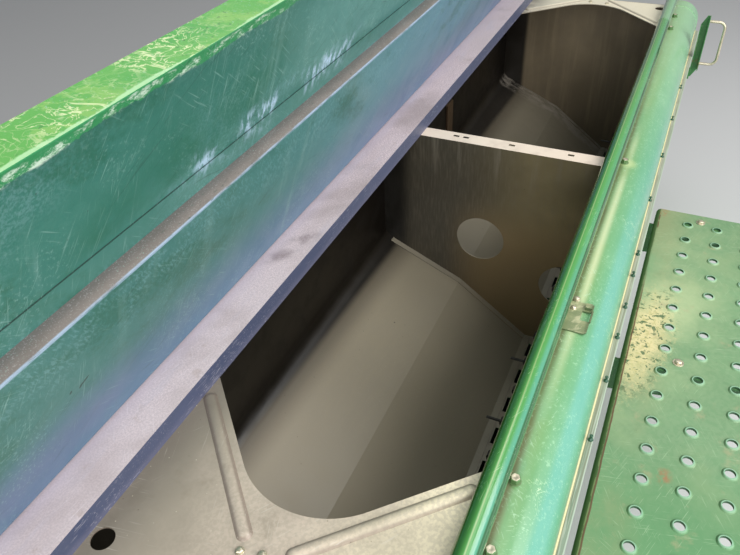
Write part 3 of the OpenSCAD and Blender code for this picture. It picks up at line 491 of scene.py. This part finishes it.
def partition_sheet():
    """Bare sheet with painted shade at the front, golden towards the lower rear from grain dust and
    painted bounce light, with a pale top flange.
    """
    s = Shade("partition_sheet", srgb(68, 64, 54), 0.4, metallic=0.15)
    # Golden towards the rear, partly grain dust and partly painted bounce light
    s.layer(s.ramp(s.along(Y), 0.0, -0.42), srgb(150, 135, 94), 0.9)
    s.layer(s.noise(2.6, 0.36, 0.66, detail=5), srgb(76, 68, 52), 0.5)
    s.layer(s.noise(190, 0.42, 0.7, (1, 1, 0.1), detail=6), srgb(112, 104, 88), 0.3)
    # Painted shade along the front
    s.layer(s.ramp(s.along(Y), 0.12, 0.175), srgb(14, 13, 12), 0.85)
    s.layer(s.both(s.noise(36, 0.52, 0.7, (1, 1, 0.08), detail=8), s.ramp(s.along(Z), 0.66, 0.80)),
            srgb(128, 120, 106), 0.4)
    # Golden at the lower rear, partly grain dust and partly painted bounce light
    s.layer(s.both(s.ramp(s.along(Y), 0.04, -0.14), s.ramp(s.along(Z), 0.68, 0.5)),
            srgb(132, 112, 78), 0.75)
    s.layer(s.both(s.ramp(s.along(REAR), 0.2, 0.34), s.ramp(s.along(Z), 0.64, 0.74)),
            srgb(76, 70, 50), 0.6)
    s.layer(s.specks(30, 0.05), srgb(32, 28, 22), 0.6)
    low = s.ramp(s.dot(s.normal, Z), 0.4, 0.8)
    s.layer(low, srgb(150, 142, 124), 0.9)
    top = s.both(s.facing(Z), s.ramp(s.along(Z), 0.822, 0.826))
    s.layer(top, srgb(238, 219, 200), 0.97)
    s.layer(s.both(top, s.noise(18, 0.45, 0.7, detail=7)), srgb(202, 182, 166), 0.45)
    s.rougher(s.noise(11, 0.4, 0.7), 0.55)
    s.raised(s.noise(240, 0.3, 0.7, detail=2), 0.00004)
    return s.done()


def tube_paint():
    """Glossy green tube with painted shade, a painted highlight and painted sky reflection round its
    side, varied along its length.
    """
    s = Shade("tube_paint", srgb(80, 148, 74), 0.16, coat=0.7, coat_rough=0.08)
    s.layer(s.noise(3, 0.35, 0.7, (0.3, 1, 1)), srgb(64, 132, 60), 0.5)
    side = s.dot(s.normal, Y)
    length = s.along(X)
    # Painted shade on the front side, painted sky reflection on the rear side, cyan at the near end
    s.layer(s.ramp(side, 0.02, 0.5), srgb(44, 98, 34), 0.9)
    s.layer(s.ramp(side, -0.1, -0.6), srgb(74, 140, 96), 0.8)
    s.layer(s.both(s.ramp(side, -0.2, -0.6), s.ramp(length, -0.2, -0.9)), srgb(84, 150, 128), 0.75)
    # Painted highlight line along the top, drifting round the tube along its length
    shift = s.maths("SUBTRACT", side, s.maths("MULTIPLY", length, 0.14))
    s.layer(s.both(s.band(shift, 0.1, 0.2, 0.04), s.ramp(s.dot(s.normal, Z), 0.2, 0.6)),
            srgb(170, 192, 128), 0.5)
    # Painted contact shade where the tube meets the rim
    s.layer(s.ramp(side, -0.64, -0.76), srgb(44, 82, 44), 0.88)
    s.layer(s.ramp(length, 1.04, 1.06), srgb(150, 186, 150), 0.5)
    s.layer(s.noise(14, 0.54, 0.72, (0.25, 1, 1), detail=8), srgb(112, 158, 96), 0.35)
    s.scratches(srgb(180, 206, 160), 0.35, [(0, 0, 4), (0, 0, -12), (0, 0, 30)], scale=22)
    s.layer(s.specks(60, 0.07), srgb(32, 60, 34), 0.5)
    s.rougher(s.noise(12, 0.5, 0.7), 0.3)
    s.raised(s.noise(150, 0.3, 0.7, detail=2), 0.00003)
    return s.done()


def rim_paint():
    """Green rim, by metres to the rear: tube's foot at 0.46, top up to 0.51, bend up to 0.546."""
    s = Shade("rim_paint", srgb(110, 160, 108), 0.3, coat=0.4, coat_rough=0.18)
    back = s.along(REAR)
    length = s.along(X)
    near = s.ramp(length, 0.2, -0.6)
    # Painted light across the rim: turquoise sky reflection towards the rear bend
    s.layer(s.ramp(back, 0.478, 0.515), srgb(94, 152, 116), 0.9)
    s.layer(s.ramp(back, 0.512, 0.542), srgb(96, 156, 132), 0.9)
    s.layer(s.noise(3.2, 0.4, 0.7, (0.35, 1, 1)), srgb(84, 146, 102), 0.5)
    s.layer(s.noise(9, 0.48, 0.7, (0.6, 1, 1), detail=8, rough=0.7), srgb(120, 168, 130), 0.4)
    # Olive towards the tube, partly dirt and partly painted shade
    s.layer(s.both(s.ramp(back, 0.505, 0.47),
                   s.noise(7, 0.42, 0.6, (0.5, 1, 1), shift=(1, 3, 0), detail=8)),
            srgb(112, 148, 80), 0.5)
    # Painted sky reflection on the bend at the near end
    s.layer(s.both(near, s.band(back, 0.512, 0.537, 0.008)), srgb(104, 166, 152), 0.7)
    s.layer(s.both(near, s.ramp(back, 0.540, 0.546)), srgb(92, 150, 112), 0.6)
    # Grime and painted shade beside the tube, a painted highlight along the rim near the tube
    # Beside the tube: partly grime, partly painted shade
    grime_and_shade = s.ramp(back, 0.470, 0.454)
    s.layer(grime_and_shade, srgb(104, 112, 72), 0.75)
    s.layer(s.both(grime_and_shade, s.noise(20, 0.3, 0.65, (0.3, 1, 1))), srgb(96, 86, 62), 0.65)
    # Painted highlight streak along the rim
    rim_highlight = s.both(s.band(back, 0.466, 0.480, 0.008), s.band(length, -0.75, 0.5, 0.3))
    s.layer(s.both(rim_highlight, s.noise(2.2, 0.36, 0.6, (0.5, 1, 1), detail=3)), srgb(222, 224, 180), 0.6)
    # Painted highlight spot where the streak brightens
    s.layer(s.blob((0.02, -0.475, RIM_Z), (0.034, 0.03, 0.05), soft=0.2), srgb(196, 210, 150), 0.5)
    s.layer(s.noise(120, 0.58, 0.7, detail=3), srgb(176, 214, 176), 0.3)
    hooks = s.both(s.curls(26, 0.012, shift=(3, 0, 1)), s.noise(7, 0.56, 0.64, detail=3))
    s.layer(hooks, srgb(206, 226, 186), 0.5)
    s.scratches(srgb(196, 226, 196), 0.4, [(0, 0, 20), (0, 0, -34), (0, 0, 64), (0, 0, 110)],
                scale=30, length=22)
    s.layer(s.both(s.specks(60, 0.07), s.noise(4, 0.45, 0.6)), srgb(214, 232, 206), 0.6)
    s.layer(s.specks(33, 0.05, shift=(2, 5, 1)), srgb(48, 90, 58), 0.6)
    s.layer(s.ramp(length, 0.0, 1.1), srgb(168, 200, 156), 0.45)
    s.rougher(s.noise(15, 0.42, 0.7), 0.44)
    s.raised(s.noise(90, 0.3, 0.7, detail=3), 0.00004)
    return s.done()


def strip_paint():
    """Dusty strip with brushed lines, its edges at 0.548 and 0.561 m to the rear."""
    s = Shade("strip_paint", srgb(168, 164, 146), 0.42)
    back = s.along(REAR)
    length = s.along(X)
    s.layer(s.ramp(length, -0.1, -0.6), srgb(146, 152, 128), 0.8)
    s.layer(s.ramp(length, -0.6, -1.1), srgb(72, 106, 80), 0.9)
    s.layer(s.ramp(back, 0.5535, 0.5575), srgb(140, 152, 134), 0.6)
    s.layer(s.noise(300, 0.42, 0.6, (0.02, 1, 1), detail=3), srgb(112, 108, 84), 0.5)
    s.layer(s.noise(340, 0.52, 0.62, (0.02, 1, 1), shift=(1, 0, 2), detail=3), srgb(186, 192, 176), 0.5)
    s.layer(s.noise(5, 0.46, 0.7, (0.3, 1, 1), detail=6), srgb(136, 152, 132), 0.4)
    s.layer(s.noise(16, 0.6, 0.7, detail=8), srgb(116, 100, 78), 0.4)
    s.layer(s.ramp(back, 0.5605, 0.5613), srgb(180, 192, 176), 0.7)
    s.layer(s.ramp(back, 0.5514, 0.5509), srgb(126, 104, 70), 0.8)
    s.layer(s.ramp(back, 0.5506, 0.5501), srgb(222, 210, 166), 0.97)
    s.layer(s.ramp(back, 0.5476, 0.5472), srgb(120, 96, 62), 0.7)
    s.layer(s.facing(REAR), srgb(58, 112, 66), 0.8)
    s.raised(s.noise(180, 0.3, 0.7, detail=2), 0.00005)
    return s.done()


def walkway_paint():
    """Dull green board with a worn patch, rust and a dark inner edge 0.585 m to the rear."""
    s = Shade("walkway_paint", srgb(112, 150, 108), 0.45)
    s.layer(s.noise(2.4, 0.38, 0.66, detail=6), srgb(98, 130, 92), 0.6)
    s.layer(s.noise(5.5, 0.5, 0.7, detail=8), srgb(138, 156, 114), 0.5)
    s.layer(s.noise(18, 0.5, 0.75, detail=8, rough=0.7), srgb(82, 120, 82), 0.4)
    s.layer(s.noise(90, 0.4, 0.6, detail=3), srgb(128, 152, 116), 0.3)
    # Washes and haze on the top, then the worn patch with its chips
    flat = s.facing(Z, 0.6, 0.9)
    s.layer(s.ramp(s.along(NEAR), 0.7, 0.98), srgb(72, 128, 78), 0.7)
    washed = s.both(s.ramp(s.along(Y), -0.70, -0.60),
                    s.noise(5, 0.36, 0.6, (0.6, 1, 1), shift=(3, 0, 0), detail=7))
    s.layer(s.both(washed, flat), srgb(146, 144, 104), 0.5)
    haze = s.both(s.blob((-0.32, -0.66, WALKWAY_Z), (0.42, 0.17, 1), soft=0.0),
                  s.noise(4, 0.3, 0.6, detail=7))
    s.layer(s.both(haze, flat), srgb(196, 204, 156), 0.5)
    patch = s.blob((-0.46, -0.612, WALKWAY_Z), (0.3, 0.095, 1), (0, 0, 6), 0.0)
    worn = s.ramp(s.uneven(patch, s.noise(20, 0.2, 0.8, detail=12, rough=0.9), 0.9), 0.6, 1.5)
    s.layer(s.both(worn, flat), srgb(212, 198, 148), 0.9)
    s.layer(s.both(s.ramp(patch, 0.0, 0.4), flat, s.noise(110, 0.54, 0.62, detail=6, rough=0.8)),
            srgb(196, 186, 138), 0.7)
    s.layer(s.both(worn, flat, s.noise(90, 0.5, 0.6, detail=5)), srgb(166, 162, 104), 0.6)
    for scale, low, stretch in CHIPS:
        chips = s.both(s.noise(scale, low, low + 0.02, stretch, detail=3), s.ramp(patch, 0.12, 0.5))
        s.layer(s.both(chips, flat), srgb(62, 94, 58), 0.85)
    s.layer(s.both(flat, s.noise(8, 0.62, 0.7, shift=(4, 4, 0), detail=9)), srgb(166, 150, 116), 0.45)
    s.layer(s.both(flat, s.noise(13, 0.58, 0.72, shift=(7, 1, 0), detail=9, rough=0.7)),
            srgb(172, 150, 120), 0.4)
    for x, y in WALKWAY_RUST:
        s.layer(s.both(s.blob((x, y, WALKWAY_Z), (0.03, 0.02, 1), soft=0.1), s.noise(60, 0.4, 0.6)),
                srgb(158, 90, 58), 0.7)
    s.scratches(srgb(170, 192, 156), 0.3, [(0, 0, 20), (0, 0, -30), (0, 0, 75), (0, 0, 120)],
                scale=22, length=22)
    # Raised rims of the holes with a painted highlight on their tops, then the edges
    # Painted highlight on the tops of the holes' raised rims
    s.layer(s.both(s.ramp(s.along(Z), 0.6438, 0.6456), flat), srgb(138, 178, 150), 0.75)
    steep = s.ramp(s.maths("ABSOLUTE", s.dot(s.normal, Z)), 0.3, 0.1)
    s.layer(s.both(steep, s.ramp(s.along(REAR), 0.585, 0.60)), srgb(38, 78, 50), 0.9)
    side = s.facing(Y, 0.3, 0.9)
    s.layer(side, srgb(54, 84, 46), 0.9)
    # Dark inner edge with crumbs of old paint and a line of rust
    rear = s.uneven(s.along(REAR), s.noise(30, 0.3, 0.7, detail=8), 0.0012)
    above = s.facing(Z, 0.1, 0.3)
    s.layer(s.both(above, s.ramp(rear, 0.5852, 0.5842)), srgb(70, 92, 52), 0.9)
    worn_edge = s.ramp(s.along(NEAR), 0.15, 0.35)
    crumbs = s.both(worn_edge, s.noise(70, 0.42, 0.52, (0.5, 1, 1), detail=5))
    s.layer(s.both(above, crumbs, s.band(rear, 0.5828, 0.5850, 0.0004)), srgb(140, 152, 104), 0.6)
    rust_line = s.maths("MAXIMUM", worn_edge, s.noise(9, 0.52, 0.58))
    s.layer(s.both(above, rust_line, s.band(rear, 0.5852, 0.5884, 0.0005)), srgb(98, 66, 44), 0.9)
    s.layer(s.specks(40, 0.06), srgb(60, 92, 62), 0.5)
    s.rougher(s.noise(10, 0.4, 0.7), 0.58)
    s.raised(s.noise(140, 0.3, 0.7, detail=3), 0.00006)
    return s.done()


def steel(name, base, rough=0.35, metallic=0.85, rust=0.25):
    """Bare or zinc-plated metal with darker and rusty spots."""
    s = Shade(name, srgb(*base), rough, metallic=metallic)
    s.layer(s.noise(40, 0.4, 0.7, detail=5), srgb(*[c * 0.75 for c in base]), 0.5)
    s.layer(s.noise(60, 0.55, 0.75, detail=8), srgb(120, 84, 52), rust)
    s.rougher(s.noise(70, 0.4, 0.7), min(1, rough + 0.2))
    s.raised(s.noise(400, 0.3, 0.7, detail=2), 0.00003)
    return s.done()


def latch_sheet():
    """Rubbed plate, pale where the paint has gone."""
    s = Shade("latch_sheet", srgb(160, 166, 124), 0.32, metallic=0.2, coat=0.3, coat_rough=0.2)
    s.layer(s.noise(30, 0.4, 0.62, (1, 0.6, 1), detail=6), srgb(92, 112, 74), 0.6)
    s.layer(s.noise(70, 0.52, 0.64, (0.5, 1, 1), (0, 0, 30), detail=5), srgb(214, 208, 170), 0.45)
    s.layer(s.ramp(s.along(REAR), 0.492, 0.498), srgb(74, 92, 60), 0.6)
    s.layer(s.ramp(s.dot(s.normal, Z), 0.7, 0.3), srgb(70, 92, 58), 0.8)
    s.rougher(s.noise(60, 0.4, 0.7), 0.5)
    s.raised(s.noise(200, 0.3, 0.7, detail=2), 0.00005)
    return s.done()


def plastic(name, base=(34, 34, 35)):
    """Dark matt surface with dust."""
    s = Shade(name, srgb(*base), 0.5)
    s.layer(s.noise(14, 0.45, 0.75, detail=8), srgb(96, 90, 78), 0.4)
    s.layer(s.noise(5, 0.4, 0.7), srgb(22, 22, 23), 0.6)
    s.rougher(s.noise(30, 0.4, 0.7), 0.7)
    s.raised(s.noise(500, 0.3, 0.7, detail=2), 0.00004)
    return s.done()


GREEN = green_paint("green_paint")
ZINC = steel("zinc_steel", (205, 196, 172), 0.34, 0.8, 0.3)
SHAFT = steel("shaft_steel", (150, 148, 142), 0.3, 0.9, 0.35)
CAST = steel("cast_housing", (92, 90, 86), 0.6, 0.4, 0.35)
ROD = steel("bright_rod", (205, 206, 208), 0.12, 1.0, 0.04)
BOLT_GREEN = green_paint("bolt_paint", (84, 118, 70), 0.42, 0.35)
CLIP = green_paint("clip_paint", (22, 74, 52), 0.45, 0.1)
LID = lid_paint()

LOOKS = {
    # The front wall's near-black inside is painted shade under the overhanging front rim
    "front_and_floor_sheet": inner_sheet("front_floor_sheet", [REAR, Z], wall=(18, 11, 5)),
    "rear_sheet": inner_sheet("rear_inner_sheet", [Y, Z]),
    "trough_plate": inner_sheet("trough_sheet", [Z]),
    "end_wall_near": inner_sheet("near_wall_sheet", [X, Z], wall=(66, 58, 48)),
    "end_wall_far": inner_sheet("far_wall_sheet", [NEAR, Z], wall=(104, 93, 74)),
    "end_shelf_near": shelf_sheet(),
    "partition": partition_sheet(),
    "wall_strap": inner_sheet("strap_sheet", [REAR, NEAR], floor=False, wall=(62, 48, 34),
                              outside=(54, 43, 32)),
    "front_rim": front_rim_paint(),
    "rear_rim": rim_paint(),
    "rim_edge_strip": strip_paint(),
    "rim_tube": tube_paint(),
    "latch_plate": latch_sheet(),
    "metering_units": plastic("black_plastic"),
    "shaft_bearings": CAST,
    "walkway_board": walkway_paint(),
    "grab_handle": ZINC,
    "strut_brackets": ZINC,
    "lid_skin": LID, "lid_box": LID, "lid_end_near": LID, "lid_end_far": LID,
    "lid_hinge_pins": ZINC, "lid_strut_studs": ZINC, "lid_catch": ZINC,
    "agitator": SHAFT, "metering_shaft": SHAFT, "agitator_fingers": CAST,
    "strut_cylinder_near": plastic("strut_enamel", (22, 22, 24)),
    "strut_rod_near": ROD, "strut_rod_far": ROD,
}
LOOKS["end_shelf_far"] = LOOKS["end_shelf_near"]
LOOKS["strut_cylinder_far"] = LOOKS["strut_cylinder_near"]
for name, obj in nodes.items():
    obj.data.materials.clear()
    obj.data.materials.append(LOOKS.get(name, GREEN))


# Degrees between two faces from which their edge stays sharp
SHARP_EDGE = 35


def piece(name, parts, look):
    """One object on the hopper's body from (verts, faces) parts placed in the row's frame."""
    verts, faces = [], []
    for v, f in parts:
        faces += [[i + len(verts) for i in face] for face in f]
        verts += v
    mesh = bpy.data.meshes.new(name)
    mesh.from_pydata(verts, [], faces)
    mesh.validate()
    obj = bpy.data.objects.new(name, mesh)
    bpy.context.scene.collection.objects.link(obj)
    mesh.shade_smooth()
    mesh.set_sharp_from_angle(angle=math.radians(SHARP_EDGE))
    mesh.materials.append(look)
    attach(obj, "hopper")


def lathe(profile, steps, turn):
    """Turns (radius, height) in millimetres about Z; turn is the matrix that places it."""
    verts, faces = [], []
    for i in range(steps):
        a = 2 * math.pi * i / steps
        for r, z in profile:
            verts.append(turn @ Vector((r * math.cos(a) / 1000, r * math.sin(a) / 1000, z / 1000)))
    n = len(profile)
    for i in range(steps):
        j = (i + 1) % steps
        for k in range(n - 1):
            faces.append([i * n + k, j * n + k, j * n + k + 1, i * n + k + 1])
    return verts, faces


def placing(x, y, z, tilt=(0, 0, 0)):
    """Matrix for a hopper place in millimetres, tilted by degrees."""
    turn = Matrix.Identity(4)
    for axis, angle in zip("XYZ", tilt):
        turn = turn @ Matrix.Rotation(math.radians(angle), 4, axis)
    return Matrix.Translation(at(x, y, z)) @ turn


# Radius at the middle of a turned face, not quite nought; steps of round and hexagonal shapes; and the
# thickness of a washer, in millimetres
MID = 0.01
ROUND = 32
HEXAGON = 6
WASHER = 1.6


def spun(base, seed):
    """Base turned about its own axis by a seeded chance."""
    return base @ Matrix.Rotation(random.Random(seed).uniform(0, math.pi), 4, "Z")


def bolt(x, y, z, tilt=(0, 0, 0), washer=12, head=7, height=5, seed=0):
    """Washer with a chamfered hexagonal head; head is half its width over the flats."""
    base = placing(x, y, z, tilt)
    turned = spun(base, seed)
    top = WASHER + height
    corner = head * 1.155
    return [
        lathe([(MID, WASHER), (washer - 0.5, WASHER), (washer, 1.1), (washer, 0), (washer - 0.4, 0)],
              ROUND, base),
        lathe([(MID, top), (head * 0.82, top), (head * 1.02, top - 0.9), (corner, top - 1.5),
               (corner, 1.4)],
              HEXAGON, turned),
        lathe([(MID, top + 0.5), (head * 0.5, top + 0.4), (head * 0.78, top - 0.2)], 24, turned),
    ]


# Along X the bolts of the rear rim; their line in Y and the washers' seat in Z
RIM_BOLTS = [-1205, -1071, 20, 1097, 1241]
RIM_BOLT_Y = -304
RIM_BOLT_SEAT = -12

parts, caps = [], []
for seed, x in enumerate(RIM_BOLTS):
    base = placing(x, RIM_BOLT_Y, RIM_BOLT_SEAT)
    turned = spun(base, seed)
    parts.append(lathe([(MID, 1.4), (10.4, 1.4), (10.8, 1), (10.8, 0)], ROUND, base))
    parts.append(lathe([(MID, 11.2), (8.2, 11.2), (9, 10.6), (9, 1.2)], HEXAGON, turned))
    caps.append(lathe([(MID, 11.5), (3, 11.5), (3.4, 11.7), (7, 11.7), (7.6, 11.1)], HEXAGON, turned))
piece("rim_bolts", parts, BOLT_GREEN)
piece("rim_bolt_tops", caps, ZINC)

SHELF_BOLTS = [(-1355, 34), (-1347, 0), (1290, 32), (1287, -34)]
parts = []
for seed, (x, y) in enumerate(SHELF_BOLTS, 10):
    parts += bolt(x, y, 0, washer=7.5, head=5.5, height=4, seed=seed)
piece("shelf_bolts", parts, ZINC)

LATCH_SEAT = -9
parts = bolt(-594, -303, LATCH_SEAT, washer=7, head=5.5, height=4.5, seed=31)
parts += bolt(-623, -302, LATCH_SEAT, washer=7, head=5, height=3, seed=32)
piece("latch_bolts", parts, ZINC)

# The walkway's bolts, over its three arms and in two rows on its top
ARMS = (74, -511, -1096)
BOARD_ROWS = (-533, -680)
BOARD_TOP = -187
parts = []
for seed, (y, x) in enumerate(((y, x) for y in BOARD_ROWS for x in ARMS), 50):
    parts += bolt(x, y, BOARD_TOP, seed=seed)
piece("walkway_bolts", parts, ZINC)

# Studs in the rim's edge strip: their places, the strip's top and their waisted outline
STRIP_CLIPS = [(2, -390), (-258, -395.5), (-347, -397), (-468, -398), (-574, -398), (-708, -398),
               (-866, -398), (260, -392), (520, -392), (780, -392)]
STRIP_TOP = -103
STUD = [(MID, 13), (2.6, 13), (3.6, 12), (3.4, 10), (1.6, 7.4), (1.7, 5.6), (4.2, 3),
        (4.9, 1.5), (4.9, 0)]
STUD_STEPS = 20
parts = [lathe(STUD, STUD_STEPS, placing(x, y, STRIP_TOP)) for x, y in STRIP_CLIPS]
piece("strip_clips", parts, CLIP)

# The agitator's bearings: faces of their flanges on the end walls, axis in Y and Z, bolts' half pitch
BEARING_FACES = ((-1550, (0, -90, 0)), (1347, (0, 90, 0)))
BEARING_Y = -170
BEARING_Z = -600
HALF_PITCH = 22
parts = []
for wall, tilt in BEARING_FACES:
    for dy in (-HALF_PITCH, HALF_PITCH):
        for dz in (-HALF_PITCH, HALF_PITCH):
            parts += bolt(wall, BEARING_Y + dy, BEARING_Z + dz, tilt, washer=6, head=4.2, height=3,
                          seed=int(wall + dy + dz))
piece("bearing_bolts", parts, ZINC)

# Studio: floor, sky, lamps and the photo's camera
FLOOR_HALF = 30
FLOOR_Z = -0.0008
FLOOR_GREY = (0.52, 0.52, 0.515, 1)
SKY_COLOUR = (0.93, 0.96, 1.0, 1)
SKY_STRENGTH = 0.34

floor_mat = bpy.data.materials.new("studio_floor")
floor_mat.use_nodes = True
shader = floor_mat.node_tree.nodes["Principled BSDF"]
shader.inputs["Base Color"].default_value = FLOOR_GREY
shader.inputs["Roughness"].default_value = 0.9
mesh = bpy.data.meshes.new("studio_floor")
corners = [(x * FLOOR_HALF, y * FLOOR_HALF, FLOOR_Z) for x, y in ((-1, -1), (1, -1), (1, 1), (-1, 1))]
mesh.from_pydata(corners, [], [[0, 1, 2, 3]])
mesh.materials.append(floor_mat)
floor = bpy.data.objects.new("studio_floor", mesh)
bpy.context.scene.collection.objects.link(floor)

world = bpy.data.worlds.new("studio")
bpy.context.scene.world = world
world.use_nodes = True
background = world.node_tree.nodes["Background"]
background.inputs["Color"].default_value = SKY_COLOUR
background.inputs["Strength"].default_value = SKY_STRENGTH


def softbox(name, place, target, size, power, colour=(1, 1, 1)):
    """Area lamp at a place, turned to its target; metres and watts."""
    light = bpy.data.lights.new(name, "AREA")
    light.shape = "RECTANGLE"
    light.size, light.size_y = size
    light.energy = power
    light.color = colour
    obj = bpy.data.objects.new(name, light)
    bpy.context.scene.collection.objects.link(obj)
    obj.location = place
    obj.rotation_euler = (Vector(target) - Vector(place)).to_track_quat("-Z", "Y").to_euler()


softbox("sky", (-0.5, -3.2, 4.0), (-0.1, -0.1, 0.8), (5.0, 2.8), 205, (1.0, 0.995, 0.98))
softbox("overhead", (0.6, -0.7, 4.4), (0.3, -0.3, 0.7), (3.2, 1.6), 34)
softbox("end", (-5.0, -1.0, 2.6), (0, -0.1, 0.6), (2.5, 1.5), 120)
softbox("side", (-1.6, -4.3, 1.7), (-0.3, 0.1, 1.1), (4.2, 1.4), 105, (0.96, 0.99, 1.0))

# The photo's camera, from its vanishing points: focal length and sensor in millimetres, place and axes
LENS = 33.64
SENSOR = 36
EYE = at(-1750, -404, 950)
RIGHT = (0.4174, -0.9077, -0.0419)
UP = (0.5847, 0.2330, 0.7771)
BACK = (-0.6956, -0.3489, 0.6280)
camera = bpy.data.objects.new("camera", bpy.data.cameras.new("camera"))
bpy.context.scene.collection.objects.link(camera)
camera.data.lens = LENS
camera.data.sensor_width = SENSOR
camera.matrix_world = Matrix.Translation(EYE) @ Matrix((RIGHT, UP, BACK)).transposed().to_4x4()
bpy.context.scene.camera = camera
bpy.context.scene.view_settings.view_transform = "Standard"
